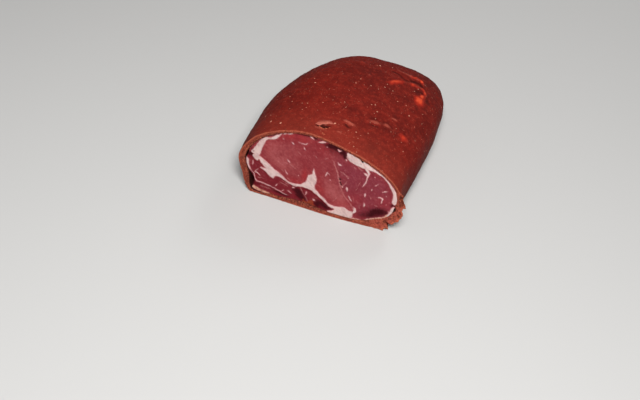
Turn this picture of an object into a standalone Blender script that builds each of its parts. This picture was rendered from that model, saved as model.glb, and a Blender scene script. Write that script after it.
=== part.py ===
"""A block of pastirma: cured beef in a thick coat of dried spice paste, cut across at its front end.

The block lies on its flat side, as it was pressed. Outlines are in millimetres: x runs from the
middle of the cut's bottom edge to the right, y into the block and z up. The finished pieces are in
metres, with the origin under the middle of the block, on the surface that it rests on.
"""

import bmesh
import bpy
import numpy as np
from mathutils import Vector, noise

MM = 0.001
TOUCHING = 1e-7

# Size of the block
BLOCK_LENGTH = 222.0
COAT_FAR_WALL = 4.5
BLOCK_MIDDLE = (3.4, 110.6)
AIR_GAP = 0.3

# The coat's outer edge at the cut, and its inner edge, point for point
COAT_OUTLINE = [
    (-70, 0), (-81, 21), (-86.5, 40), (-75, 62), (-49, 79),
    (-17, 85.5), (21, 79.5), (61, 65), (81, 49), (85, 30),
    (81.5, 12), (71, 0), (46, 0), (18, 0), (-15, 0), (-45, 0),
]
MEAT_OUTLINE = [
    (-68.5, 3.2), (-74, 22), (-79.5, 40), (-70, 59.5), (-48, 75.5),
    (-17, 82.7), (20.5, 77), (60, 62.5), (77.5, 48), (81, 31),
    (75, 16.5), (63, 9.6), (46, 3.2), (18, 1.8), (-15, 4.8), (-45, 3.2),
]

# Where each side starts to round off towards the far end, and the power of that rounding
SPINE_X, SPINE_Z = -4.0, 25.0
LEFT_ROUNDING = (58.0, 2.05)
RIGHT_ROUNDING = (131.0, 2.9)
TOP_ROUNDING = (53.0, 2.2)
BASE_ROUNDING = (170.0, 2.2)
EDGE_LIFT, HALF_WIDTH = 55.0, 82.0
BASE_CORNERS = [(-70, 5.0), (72, 4.0)]
CORNER_RADIUS, CORNER_SOFT_BY = 11.0, 45.0
LEFT_SWELL, RIGHT_SWELL, TOP_SWELL = 0.043, 0.028, 0.022
END_SLANT = 0.12
LEAN_BACK = np.tan(np.radians(9.6))
LEAN_ENDS_AT = 0.6
SIDEWAYS_DRIFT = np.tan(np.radians(2.8))

# The right flank is drawn in a little behind the cut
WAIST_DEPTH, WAIST_AT, WAIST_HALF_LENGTH = 3.0, 30.0, 30.0
WAIST_SIDE = (20.0, 70.0)
WAIST_HEIGHT = (38.0, 58.0)

# Crumbled edge of the coat at the lower right of the cut: x, z, reach outwards, half width
LIP_LOBES = [(85, 36, 5.2, 5.5), (84, 21, 5.2, 5.5), (82, 14, 2.4, 4.0), (75, 4, 2.4, 3.5)]
LIP_DEPTH = 8.0
LIP_FORWARD = 0.45
BASE_EDGE_FORWARD = 3.0
BASE_EDGE_MIDDLE, BASE_EDGE_HALF_SPAN, BASE_EDGE_HEIGHT = 15.0, 55.0, 6.0

# Where the drying meat has drawn away from the coat: x, z, width of the crack, half length
CRACKS = [(-70.5, 11, 3.4, 7.5), (80, 27, 1.4, 3.0), (-79, 42, 1.5, 3.5)]
CRACK_DEPTH = 9.0
MEAT_EDGE_ROUNDING = 1.6

# Lumps, hollows and folds of the coat: x, y, half length, half width, turn in degrees, height
LUMPS = [
    (-8, 33, 6.5, 3.2, 25, -2.2), (-2, 40, 8.0, 4.0, 25, 1.5), (13, 50, 6.0, 3.6, 10, 1.5),
    (8, 32, 3.0, 3.0, 0, 0.9), (36, 67, 7.5, 2.6, 20, 1.3), (49, 70, 7.0, 2.6, -25, 1.3),
    (52, 86, 4.5, 2.2, 40, 0.9), (67, 70, 5.0, 4.0, 0, 1.1), (36, 150, 9.0, 4.0, 45, 1.7),
    (55, 164, 9.0, 3.6, 45, 1.8), (70, 160, 8.0, 3.6, 110, 1.8), (69, 143, 6.0, 4.0, 80, 1.6),
    (60, 157, 5.0, 4.0, 30, -1.6), (57, 183, 9.0, 3.0, 20, 1.5), (-4, 164, 6.0, 4.0, 0, 1.0),
]
WAVE_HEIGHT, WAVE_LENGTH = 1.1, 38.0
RELIEF_STARTS, RELIEF_FULL = 3.0, 14.0
LUMPS_START, LUMPS_FULL = 35.0, 50.0

# Fineness of the faceted pieces
POINTS_ROUND = 80
COAT_RINGS = 33
INNER_RINGS = 12
SAMPLES_PER_KEY = 60
SHARP_ANGLE = 40.0


def clear_scene():
    for item in list(bpy.data.objects):
        bpy.data.objects.remove(item)


def smoothstep(low, high, value):
    share = np.clip((value - low) / (high - low), 0, 1)
    return share * share * (3 - 2 * share)


def spline_at(keys, where):
    """Points on the closed centripetal Catmull-Rom spline through keys, at 0 to len(keys)."""
    keys = np.array(keys, float)
    count = len(keys)
    span = np.floor(where).astype(int) % count
    t = (where - np.floor(where))[:, None]
    before, start, end, after = (keys[(span + shift) % count] for shift in (-1, 0, 1, 2))
    gaps = [
        np.sqrt(np.linalg.norm(b - a, axis=1))[:, None]
        for a, b in ((before, start), (start, end), (end, after))
    ]
    leave = (end - start) + gaps[1] * (
        (start - before) / gaps[0] - (end - before) / (gaps[0] + gaps[1])
    )
    arrive = (end - start) + gaps[1] * (
        (after - end) / gaps[2] - (after - start) / (gaps[1] + gaps[2])
    )
    return (
        start * (2 * t**3 - 3 * t**2 + 1)
        + end * (3 * t**2 - 2 * t**3)
        + leave * (t**3 - 2 * t**2 + t)
        + arrive * (t**3 - t**2)
    )


def even_places(keys, count):
    """Spline places that are evenly spaced along the closed outline through keys."""
    fine = np.linspace(0, len(keys), SAMPLES_PER_KEY * len(keys) + 1)
    line = spline_at(keys, fine)
    steps = np.linalg.norm(np.diff(line, axis=0), axis=1)
    travelled = np.concatenate([[0], np.cumsum(steps)])
    return np.interp(np.arange(count) / count * travelled[-1], travelled, fine)


def rounding(y, length, start, power):
    """1 up to start, then down to 0 at the far end along a superellipse."""
    share = np.clip((y - start) / (length - start), 0, 1)
    return (1 - share**power) ** (1 / power)


def corner_lift(x, z):
    """How far the two base corners of an outline rise where the coat is wrapped round them."""
    return sum(
        lift * np.exp(-((x - at_x) ** 2 + z**2) / CORNER_RADIUS**2) for at_x, lift in BASE_CORNERS
    )


def waist(x, y, z):
    """How far the right flank is drawn in."""
    along = np.exp(-(((y - WAIST_AT) / WAIST_HALF_LENGTH) ** 2))
    low = 1 - smoothstep(*WAIST_HEIGHT, z)
    return WAIST_DEPTH * along * low * smoothstep(*WAIST_SIDE, x)


def shell(outline, length, stations):
    """Rings of points, from the cut to the far end, of the block whose cut has this outline."""
    x, z = outline[:, 0], outline[:, 1]
    rings = []
    for y in stations:
        swell = np.sin(np.pi * y / length)
        left = rounding(y, length, *LEFT_ROUNDING) * (1 + LEFT_SWELL * swell)
        right = rounding(y, length, *RIGHT_ROUNDING) * (1 + RIGHT_SWELL * swell)
        top = rounding(y, length, *TOP_ROUNDING) * (1 + TOP_SWELL * swell)
        base_start = BASE_ROUNDING[0] - EDGE_LIFT * ((x - SPINE_X) / HALF_WIDTH) ** 2
        base = rounding(y, length, base_start, BASE_ROUNDING[1])
        across = (x - SPINE_X) * np.where(x < SPINE_X, left, right) - waist(x, y, z)
        rounded = z + corner_lift(x, z) * smoothstep(0, CORNER_SOFT_BY, y)
        up = SPINE_Z + (rounded - SPINE_Z) * np.where(z > SPINE_Z, top, base)
        lean = up * LEAN_BACK * max(0.0, 1 - y / (LEAN_ENDS_AT * length))
        along = y + lean + END_SLANT * across * (y / length) ** 2
        rings.append(np.stack([SPINE_X + across + y * SIDEWAYS_DRIFT, along, up], 1))
    return np.array(rings)


def stations_to(length, count):
    """Distances from the cut, closer together where the far end rounds off."""
    return length * np.sin(np.linspace(0, np.pi / 2, count + 1))[:-1]


def inner_stations(length):
    """The coat's inside and the meat share these, so that their facets stay a gap apart."""
    spread = stations_to(length, INNER_RINGS)
    return [0.0, CRACK_DEPTH, *spread[spread > 2 * CRACK_DEPTH]]


def outward(rings):
    """Unit normals of a shell, pointing out."""
    around = np.roll(rings, -1, axis=1) - np.roll(rings, 1, axis=1)
    along = np.gradient(rings, axis=0)
    normals = np.cross(around, along)
    return normals / np.linalg.norm(normals, axis=2, keepdims=True)


def lump_height(x, y):
    """Height of the lumps and hollows of the coat at a place seen from above."""
    total = np.zeros_like(x)
    for at_x, at_y, half_length, half_width, turn, height in LUMPS:
        angle = np.radians(turn)
        along = (x - at_x) * np.cos(angle) + (y - at_y) * np.sin(angle)
        across = (y - at_y) * np.cos(angle) - (x - at_x) * np.sin(angle)
        total += height * np.exp(-((along / half_length) ** 2) - (across / half_width) ** 2)
    return total


def wave_height(points):
    flat = points.reshape(-1, 3) / WAVE_LENGTH
    values = [noise.noise(Vector(point)) for point in flat]
    return WAVE_HEIGHT * np.array(values).reshape(points.shape[:2])


def roughen(rings):
    """The coat's hand-smeared surface: long waves, lumps, hollows and folds, and a flat base."""
    x, y, z = rings[..., 0], rings[..., 1], rings[..., 2]
    upper = smoothstep(RELIEF_STARTS, RELIEF_FULL, z)
    lumps = lump_height(x, y) * smoothstep(LUMPS_START, LUMPS_FULL, z)
    height = wave_height(rings) + lumps
    return rings + outward(rings) * (height * upper)[..., None]


def crumble_rim(rings, outline, stations):
    """Pushes the coat's front edge out into flakes at the lower right and forward at the base."""
    centre = outline.mean(axis=0)
    away = (outline - centre) / np.linalg.norm(outline - centre, axis=1, keepdims=True)
    reach = np.zeros(len(outline))
    for at_x, at_z, height, half_width in LIP_LOBES:
        apart = np.hypot(outline[:, 0] - at_x, outline[:, 1] - at_z)
        reach += height * np.exp(-((apart / half_width) ** 2))
    spread = np.exp(-(((outline[:, 0] - BASE_EDGE_MIDDLE) / BASE_EDGE_HALF_SPAN) ** 2))
    bow = BASE_EDGE_FORWARD * spread * np.exp(-outline[:, 1] / BASE_EDGE_HEIGHT)
    rings = rings.copy()
    for ring, y in zip(rings, stations):
        share = max(0.0, 1 - y / LIP_DEPTH) ** 2
        ring[:, 0] += share * reach * away[:, 0]
        ring[:, 2] = np.maximum(ring[:, 2] + share * reach * away[:, 1], 0)
        ring[:, 1] -= share * (reach * LIP_FORWARD + bow)
    return rings


def inset(outline, distance):
    """The closed outline moved inwards by a distance, which may differ from point to point."""
    tangent = np.roll(outline, -1, axis=0) - np.roll(outline, 1, axis=0)
    tangent /= np.linalg.norm(tangent, axis=1, keepdims=True)
    inward = np.stack([tangent[:, 1], -tangent[:, 0]], 1)
    return outline + inward * np.broadcast_to(distance, len(outline))[:, None]


def crack_widths(outline):
    width = np.zeros(len(outline))
    for at_x, at_z, opening, half_length in CRACKS:
        apart = np.hypot(outline[:, 0] - at_x, outline[:, 1] - at_z)
        width += opening * np.exp(-((apart / half_length) ** 2))
    return width


def to_metres(points):
    moved = np.asarray(points, float) - np.array([*BLOCK_MIDDLE, 0.0])
    return moved * MM


def add_ring(body, ring):
    return [body.verts.new(point) for point in to_metres(ring)]


def join_rings(body, first, second):
    count = len(first)
    for i in range(count):
        j = (i + 1) % count
        body.faces.new([first[i], first[j], second[j], second[i]])


def close_far_end(body, ring, tip):
    point = body.verts.new(to_metres([tip])[0])
    for i in range(len(ring)):
        body.faces.new([ring[i], ring[(i + 1) % len(ring)], point])


def merge_flat_base(body):
    """Makes the faces that lie on the table into one flat face."""
    flat = [face for face in body.faces if all(vert.co.z < TOUCHING for vert in face.verts)]
    if flat:
        bmesh.ops.dissolve_faces(body, faces=flat, use_verts=True)


def make_material(name, colour, roughness):
    material = bpy.data.materials.new(name)
    material.use_nodes = True
    shader = material.node_tree.nodes["Principled BSDF"]
    shader.inputs["Base Color"].default_value = (*colour, 1.0)
    shader.inputs["Roughness"].default_value = roughness
    shader.inputs["Metallic"].default_value = 0.0
    material.diffuse_color = (*colour, 1.0)
    return material


def finish_object(name, body, material):
    bmesh.ops.recalc_face_normals(body, faces=body.faces)
    bmesh.ops.triangulate(body, faces=body.faces)
    mesh = bpy.data.meshes.new(name)
    body.to_mesh(mesh)
    body.free()
    mesh.shade_smooth()
    mesh.set_sharp_from_angle(angle=np.radians(SHARP_ANGLE))
    mesh.materials.append(material)
    item = bpy.data.objects.new(name, mesh)
    bpy.context.scene.collection.objects.link(item)
    return item


def make_coat(outer, inner):
    """The coat of spice paste: a thick skin all round the meat, open at the cut."""
    outer_stations = stations_to(BLOCK_LENGTH, COAT_RINGS)
    outside = roughen(shell(outer, BLOCK_LENGTH, outer_stations))
    outside = crumble_rim(outside, outer, outer_stations)
    inner_length = BLOCK_LENGTH - COAT_FAR_WALL
    inside = shell(inner, inner_length, inner_stations(inner_length))

    body = bmesh.new()
    outer_rings = [add_ring(body, ring) for ring in outside]
    inner_rings = [add_ring(body, ring) for ring in inside]
    for rings in (outer_rings, inner_rings):
        for first, second in zip(rings, rings[1:]):
            join_rings(body, first, second)
    join_rings(body, outer_rings[0], inner_rings[0])
    close_far_end(body, outer_rings[-1], far_tip(BLOCK_LENGTH))
    close_far_end(body, inner_rings[-1], far_tip(inner_length))
    merge_flat_base(body)
    return finish_object("spice_coat", body, make_material("spice_paste", (0.24, 0.035, 0.02), 0.55))


def far_tip(length):
    return (SPINE_X + length * SIDEWAYS_DRIFT, length, SPINE_Z)


def make_meat(inner):
    """The cured beef inside: one solid piece, with its cut face rounded at the edge."""
    length = BLOCK_LENGTH - COAT_FAR_WALL - AIR_GAP
    side = inset(inner, AIR_GAP)
    cut = inset(inner, AIR_GAP + crack_widths(inner))
    lip = inset(inner, AIR_GAP + crack_widths(inner) + MEAT_EDGE_ROUNDING)
    front = [shell(lip, length, [0.0])[0], shell(cut, length, [MEAT_EDGE_ROUNDING])[0]]
    sides = shell(side, length, inner_stations(length)[1:])
    body = bmesh.new()
    rings = [add_ring(body, ring) for ring in [*front, *sides]]
    for first, second in zip(rings, rings[1:]):
        join_rings(body, first, second)
    body.faces.new(rings[0])
    close_far_end(body, rings[-1], far_tip(length))
    return finish_object("cured_meat", body, make_material("cured_beef", (0.31, 0.052, 0.06), 0.4))


def main():
    clear_scene()
    places = even_places(COAT_OUTLINE, POINTS_ROUND)
    outer = spline_at(COAT_OUTLINE, places)
    outer[:, 1] = np.maximum(outer[:, 1], 0)
    inner = spline_at(MEAT_OUTLINE, places)
    make_coat(outer, inner)
    make_meat(inner)


main()
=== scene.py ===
# %% [markdown]
# # A block of pastirma
#
# Pastirma is a whole muscle of beef that is salted, pressed flat, dried in the air and wrapped in a
# thick paste of ground spices. This block was cut across once, so it shows everything at a glance:
# a brick red skin of dried paste, the crumbling rim of that skin round the cut, and the cut beef
# inside with its white seams of fat.
#
# The packed model already holds the block as two plain solids, the beef and its coat. This lesson
# builds finer pieces over them, in the same place and at the same size, and gives them their finish.

# %% The packed model
from math import radians

import bmesh
import bpy
import numpy as np
from mathutils import Matrix, Vector, bvhtree, noise


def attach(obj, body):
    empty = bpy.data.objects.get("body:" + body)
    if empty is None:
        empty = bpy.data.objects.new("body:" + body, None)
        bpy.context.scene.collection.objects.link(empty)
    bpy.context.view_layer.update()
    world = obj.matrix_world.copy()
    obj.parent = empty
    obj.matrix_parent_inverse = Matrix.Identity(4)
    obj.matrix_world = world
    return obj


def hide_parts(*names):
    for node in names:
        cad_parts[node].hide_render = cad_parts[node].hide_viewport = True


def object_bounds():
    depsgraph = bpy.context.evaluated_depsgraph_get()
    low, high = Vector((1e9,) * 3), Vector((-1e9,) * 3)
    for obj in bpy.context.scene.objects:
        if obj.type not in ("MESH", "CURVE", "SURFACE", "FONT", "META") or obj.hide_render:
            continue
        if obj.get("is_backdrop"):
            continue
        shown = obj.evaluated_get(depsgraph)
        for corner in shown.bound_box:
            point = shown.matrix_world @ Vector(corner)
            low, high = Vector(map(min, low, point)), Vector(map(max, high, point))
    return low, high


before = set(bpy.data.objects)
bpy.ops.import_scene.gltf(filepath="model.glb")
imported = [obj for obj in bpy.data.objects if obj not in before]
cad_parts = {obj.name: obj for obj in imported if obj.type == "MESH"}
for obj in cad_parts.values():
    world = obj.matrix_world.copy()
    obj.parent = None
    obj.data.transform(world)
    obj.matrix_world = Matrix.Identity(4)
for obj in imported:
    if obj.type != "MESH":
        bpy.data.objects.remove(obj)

cad_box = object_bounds()
print("solids:", sorted(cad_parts))
print("box of the solids, mm:", [[round(x * 1000, 1) for x in corner] for corner in cad_box])

# %% [markdown]
# ## Camera
#
# The photograph looks down on the block from the front at about 44 degrees, a little from the right,
# and is slightly tipped. A camera can be placed by typing in its matrix, but nobody can read one.
# Turning it step by step says the same in words: point it down by its elevation, swing it round by
# its heading, tip it by its roll, and back it away from the spot that it looks at.

# %% Camera
AIM, DISTANCE = Vector((-0.0021, -0.0951, 0.0)), 1.0244
ELEVATION, HEADING, ROLL = 44.35, 11.67, 8.12
LENS = 55.7


def add_object(name, data):
    """Puts a mesh, a camera or a lamp into the scene."""
    added = bpy.data.objects.new(name, data)
    bpy.context.scene.collection.objects.link(added)
    return added


def make_camera():
    data = bpy.data.cameras.new("camera")
    data.lens = LENS
    camera = add_object("camera", data)
    turn = (
        Matrix.Rotation(radians(HEADING), 4, "Z")
        @ Matrix.Rotation(radians(90 - ELEVATION), 4, "X")
        @ Matrix.Rotation(radians(ROLL), 4, "Z")
    )
    camera.matrix_world = Matrix.Translation(AIM) @ turn @ Matrix.Translation((0, 0, DISTANCE))
    bpy.context.scene.camera = camera
    return camera


camera = make_camera()
print("camera stands at", [round(x, 3) for x in camera.matrix_world.translation])

# %% [markdown]
# ## Two soft shapes
#
# Hardly anything on food begins at a sharp line, so most steps below fade something in or out. Two
# short formulas do that for whole arrays of points at once: a soft step, which rises smoothly from
# 0 to 1 between two values, and a bell, which is 1 in one place and dies away round it.

# %% Soft steps and bells


def smoothstep(low, high, value):
    """0 at low and 1 at high, with a smooth change between them; low may be the larger."""
    share = np.clip((value - low) / (high - low), 0, 1)
    return share * share * (3 - 2 * share)


def bell(distance, half_width):
    return np.exp(-((distance / half_width) ** 2))


print("a step and a bell, a quarter of the way:", smoothstep(0, 4, 1), round(bell(1, 4), 3))

# %% [markdown]
# ## The lines of the block
#
# The solids were drawn from two closed outlines on the cut: the outer edge of the coat and its inner
# edge, where the beef begins. They are given in millimetres, with x from the middle of the cut's
# bottom edge, y into the block and z up. The same few points are used here, so that the finer pieces
# keep to the solids.

# %% Outlines of the cut, in millimetres
BLOCK_LENGTH = 222.0
COAT_OUTLINE = [
    (-70, 0), (-81, 21), (-86.5, 40), (-75, 62), (-49, 79),
    (-17, 85.5), (21, 79.5), (61, 65), (81, 49), (85, 30),
    (81.5, 12), (71, 0), (46, 0), (18, 0), (-15, 0), (-45, 0),
]
MEAT_OUTLINE = [
    (-68.5, 3.2), (-74, 22), (-79.5, 40), (-70, 59.5), (-48, 75.5),
    (-17, 82.7), (20.5, 77), (60, 62.5), (77.5, 48), (81, 31),
    (75, 16.5), (63, 9.6), (46, 3.2), (18, 1.8), (-15, 4.8), (-45, 3.2),
]

print("points of the two outlines:", len(COAT_OUTLINE), len(MEAT_OUTLINE))

# %% [markdown]
# ## A smooth curve through a few points
#
# A spline that goes through each of its points lets a shape be read straight off the object, and it
# can be walked along as finely as a piece needs: few points for a solid, hundreds for the coat. The
# steps along it are even, or shorter where the mesh has to be finer.

# %% A smooth curve
SAMPLES_PER_KEY = 60


def spline_at(keys, where):
    """Places on the smooth closed curve through keys, counted from 0 at the first of them."""
    keys = np.array(keys, float)
    span = np.floor(where).astype(int)
    t = (where - np.floor(where))[:, None]
    before, start, end, after = (keys[(span + shift) % len(keys)] for shift in (-1, 0, 1, 2))
    gaps = [
        np.sqrt(np.linalg.norm(b - a, axis=1))[:, None]
        for a, b in ((before, start), (start, end), (end, after))
    ]
    leave = (end - start) + gaps[1] * (
        (start - before) / gaps[0] - (end - before) / (gaps[0] + gaps[1])
    )
    arrive = (end - start) + gaps[1] * (
        (after - end) / gaps[2] - (after - start) / (gaps[1] + gaps[2])
    )
    return (
        start * (2 * t**3 - 3 * t**2 + 1)
        + end * (3 * t**2 - 2 * t**3)
        + leave * (t**3 - 2 * t**2 + t)
        + arrive * (t**3 - t**2)
    )


def even_places(keys, from_key, to_key, count, crowd=None):
    """Spline places from one key up to another, closer together where crowd is high."""
    fine = np.linspace(from_key, to_key, SAMPLES_PER_KEY * (to_key - from_key) + 1)
    line = spline_at(keys, fine)
    steps = np.linalg.norm(np.diff(line, axis=0), axis=1)
    if crowd:
        steps *= crowd(line[1:])
    travelled = np.concatenate([[0], np.cumsum(steps)])
    return np.interp(np.arange(count) / count * travelled[-1], travelled, fine)


print("halfway round the coat:", spline_at(COAT_OUTLINE, np.array([8.0]))[0].tolist())

# %% [markdown]
# ## How the sides round off
#
# Behind the cut the block swells a little and then rounds off: the left side begins to curve in
# early, the right side late, and the top in between, as a hand-pressed muscle does. Each side
# follows a superellipse, which stays straight and then turns in smoothly, so one formula with a
# starting place and a power for each side carries the outline to the tip.

# %% Sides: where each starts to round off, and its power
LEFT_SIDE, RIGHT_SIDE = (58.0, 2.05), (131.0, 2.9)
TOP_SIDE, BASE_SIDE = (53.0, 2.2), (170.0, 2.2)


def rounding(y, length, start, power):
    """1 up to start, then down to 0 at the far end along a superellipse."""
    share = np.clip((y - start) / (length - start), 0, 1)
    return (1 - share**power) ** (1 / power)


for side, shape in (("left", LEFT_SIDE), ("right", RIGHT_SIDE), ("top", TOP_SIDE)):
    print(f"150 mm in, the {side} has kept {rounding(150, BLOCK_LENGTH, *shape):.0%} of its size")

# %% [markdown]
# ## Corners and waist
#
# At the cut the block stands on two sharp lower corners. Further in the coat is wrapped round them,
# so they lift, and the right flank is drawn in a little just behind the cut. Both are bells, which
# change the outline in one place and leave the rest as it was.

# %% Corners and waist
BASE_CORNERS = [(-70, 5.0), (72, 4.0)]
CORNER_RADIUS, CORNER_SOFT_BY = 11.0, 45.0
WAIST_DEPTH, WAIST_AT, WAIST_HALF_LENGTH = 3.0, 30.0, 30.0
WAIST_SIDE, WAIST_HEIGHT = (20.0, 70.0), (38.0, 58.0)


def corner_lift(x, z):
    """How far the two base corners of an outline rise where the coat is wrapped round them."""
    return sum(lift * bell(np.hypot(x - at_x, z), CORNER_RADIUS) for at_x, lift in BASE_CORNERS)


def waist(x, y, z):
    """How far the right flank is drawn in behind the cut."""
    low = 1 - smoothstep(*WAIST_HEIGHT, z)
    return WAIST_DEPTH * bell(y - WAIST_AT, WAIST_HALF_LENGTH) * low * smoothstep(*WAIST_SIDE, x)


print(f"the right flank is drawn in by up to {waist(70.0, WAIST_AT, 0.0):.1f} mm")

# %% [markdown]
# ## The shell
#
# A shell is the outline of the cut carried back, ring by ring, shrunk by its roundings towards a
# line inside the block. The cut leans back by 9.6 degrees, as the knife leaned, and the block
# drifts a little sideways. The normals come from the neighbours of each point in the rings, which
# is quicker than building a mesh to ask it.

# %% The shell
SPINE_X, SPINE_Z = -4.0, 25.0
EDGE_LIFT, HALF_WIDTH = 55.0, 82.0
LEFT_SWELL, RIGHT_SWELL, TOP_SWELL = 0.043, 0.028, 0.022
LEAN_BACK, LEAN_ENDS_AT = np.tan(np.radians(9.6)), 0.6
SIDEWAYS_DRIFT = np.tan(np.radians(2.8))
END_SLANT = 0.12


def shell(outline, length, stations):
    """Rings of points, from the cut to the far end, of the block whose cut has this outline."""
    x, z = outline[:, 0], outline[:, 1]
    rings = []
    for y in stations:
        swell = np.sin(np.pi * y / length)
        left = rounding(y, length, *LEFT_SIDE) * (1 + LEFT_SWELL * swell)
        right = rounding(y, length, *RIGHT_SIDE) * (1 + RIGHT_SWELL * swell)
        top = rounding(y, length, *TOP_SIDE) * (1 + TOP_SWELL * swell)
        base_start = BASE_SIDE[0] - EDGE_LIFT * ((x - SPINE_X) / HALF_WIDTH) ** 2
        base = rounding(y, length, base_start, BASE_SIDE[1])
        across = (x - SPINE_X) * np.where(x < SPINE_X, left, right) - waist(x, y, z)
        lifted = z + corner_lift(x, z) * smoothstep(0, CORNER_SOFT_BY, y)
        up = SPINE_Z + (lifted - SPINE_Z) * np.where(z > SPINE_Z, top, base)
        lean = up * LEAN_BACK * max(0.0, 1 - y / (LEAN_ENDS_AT * length))
        along = y + lean + END_SLANT * across * (y / length) ** 2
        rings.append(np.stack([SPINE_X + across + y * SIDEWAYS_DRIFT, along, up], 1))
    return np.array(rings)


def far_tip(length):
    return np.array([SPINE_X + length * SIDEWAYS_DRIFT, length, SPINE_Z])


def outward(rings):
    """Unit normals of a shell, pointing out."""
    around = np.roll(rings, -1, axis=1) - np.roll(rings, 1, axis=1)
    along = np.gradient(rings, axis=0)
    normals = np.cross(around, along)
    return normals / np.linalg.norm(normals, axis=2, keepdims=True)


widest = shell(np.array(COAT_OUTLINE, float), BLOCK_LENGTH, [BLOCK_LENGTH / 4])[0]
print(f"a quarter of the way in, the block is {np.ptp(widest[:, 0]):.0f} mm wide")

# %% [markdown]
# ## Unevenness
#
# Nothing on food is even. Blender's own noise functions give one number for a place in space, and
# places that are close together get numbers that are close, which is what a smeared or cut surface
# needs. Reading them in space, and not along the mesh, means that no seam can show. A shift reads
# them elsewhere, so that two kinds of unevenness don't match, and the same shift gives the same
# block each time.

# %% Noise helpers


def rough(points, size, octaves=1, shift=0.0):
    """Smooth unevenness from about -1 to 1 at each point, with features of about this size."""
    flat = (points.reshape(-1, 3) + shift) / size
    if octaves == 1:
        values = [noise.noise(Vector(point)) for point in flat]
    else:
        values = [noise.fractal(Vector(point), 1.0, 2.0, octaves) for point in flat]
    return np.array(values).reshape(points.shape[:-1])


def lumpy(points, size, shift=0.0):
    """Rounded crumbs packed side by side: 1 at the middle of each, and low in the gaps."""
    flat = (points.reshape(-1, 3) + shift) / size
    values = [1 - noise.voronoi(Vector(point))[0][0] for point in flat]
    return np.array(values).reshape(points.shape[:-1])


sample = np.random.default_rng(1).uniform(0, 90, (500, 3))
print(f"noise runs from {rough(sample, 7.0).min():.2f} to {rough(sample, 7.0).max():.2f}")
print(f"crumbs run from {lumpy(sample, 7.0).min():.2f} to {lumpy(sample, 7.0).max():.2f}")

# %% [markdown]
# ## Faces from tables of numbers
#
# A face is only a list of the numbers of its corners. The numbers of a sheet's points make a table
# of rows and columns, and the table laid over itself, moved by one row or column, gives the corners
# of all faces in one go, which is fast and leaves no stray face. Coat and beef are sleeves, closed
# rings one behind the other: the same table, with its first column written again at the end, and a
# point that closes the far end like a fan.

# %% Faces


def grid_faces(table):
    """Four-sided faces between the rows and columns of a table of point numbers."""
    corners = [table[:-1, :-1], table[:-1, 1:], table[1:, 1:], table[1:, :-1]]
    return np.stack(corners, -1).reshape(-1, 4).tolist()


def grid_border(table):
    """The outer numbers of a table: first column, last row, last column and first row."""
    sides = [table[:-1, 0], table[-1, :-1], table[:0:-1, -1], table[0, :0:-1]]
    return np.concatenate(sides)


def sleeve_faces(loops):
    """Faces between closed loops of point numbers, one loop a row."""
    return grid_faces(np.hstack([loops, loops[:, :1]]))


def fan_faces(loop, tip):
    """Triangles from a closed loop of point numbers to one tip."""
    return [[one, two, tip] for one, two in zip(loop.tolist(), np.roll(loop, -1).tolist())]


table = np.arange(12).reshape(3, 4)
print("faces of a sheet of 3 rows of 4 points:", len(grid_faces(table)))
print("faces of a sleeve of 3 rings of 4 points:", len(sleeve_faces(table)))

# %% [markdown]
# ## From points to a piece
#
# The steps below count in millimetres from the cut, and Blender counts in metres from the middle of
# the block. The faces may come out pointing in, so the volume is worked out and the whole mesh is
# turned over if it is negative. In a closed skin each edge lies between two faces that run along it
# in opposite directions. An edge that doesn't is counted as a fault, since a hole or a face turned
# the wrong way is hard to see and spoils the shading.

# %% A piece
MM, CUBIC_CM = 0.001, 0.01**3
BLOCK_MIDDLE = np.array([3.4, 110.6, 0.0])


def to_scene(points):
    """From millimetres at the cut to metres round the block's middle."""
    return (np.asarray(points, float) - BLOCK_MIDDLE) * MM


def to_block(points):
    """From metres round the block's middle back to millimetres at the cut."""
    return np.asarray(points) / MM + BLOCK_MIDDLE


def read(items, name, width, kind=float):
    """What the mesh stores for every point, edge, face or corner, as the rows of an array."""
    values = np.zeros(len(items) * width, kind)
    items.foreach_get(name, values)
    return values.reshape(-1, width)


def volume_of(mesh):
    mesh.calc_loop_triangles()
    corners = read(mesh.loop_triangles, "vertices", 3, int)
    a, b, c = read(mesh.vertices, "co", 3)[corners].transpose(1, 0, 2)
    return (a * np.cross(b, c)).sum() / 6


def faults_of(mesh):
    """How many edges don't lie between two faces that run along them in opposite directions."""
    edge, corner = (read(mesh.loops, name, 1, int)[:, 0] for name in ("edge_index", "vertex_index"))
    forward = corner == read(mesh.edges, "vertices", 2, int)[edge, 0]
    return np.count_nonzero(np.bincount(edge, np.where(forward, 1, -1)))


def make_piece(name, points, faces, sharp_angle, marks):
    """A mesh object from points in millimetres, with a named number for each point."""
    mesh = bpy.data.meshes.new(name)
    mesh.from_pydata(to_scene(points).tolist(), [], faces)
    if volume_of(mesh) < 0:
        mesh.flip_normals()
    mesh.shade_smooth()
    mesh.set_sharp_from_angle(angle=radians(sharp_angle))
    for label, values in marks.items():
        mark = mesh.attributes.new(label, "FLOAT", "POINT")
        mark.data.foreach_set("value", np.asarray(values, np.float32))
    volume = volume_of(mesh) / CUBIC_CM
    size = f"{len(mesh.loop_triangles)} triangles, {volume:.2f} cm3"
    print(f"{name}: {size}, {faults_of(mesh)} edges at fault")
    return add_object(name, mesh)


print("the middle of the cut's bottom edge is at", to_scene([0, 0, 0]).round(4).tolist())

# %% [markdown]
# ## Lumps and ridges of the coat
#
# The paste goes on by hand as thick as batter and dries to a leathery skin, with lumps where paste
# gathered, a torn spot near the front, thin ridges and a few folds at the far right. A lump is a
# soft hill with a place, half a length, half a width, a turn and a height, and a ridge is a line
# with a height and half a width. A sculpted mesh could do the same, but a list can be read, checked
# against the photograph and changed.

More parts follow.
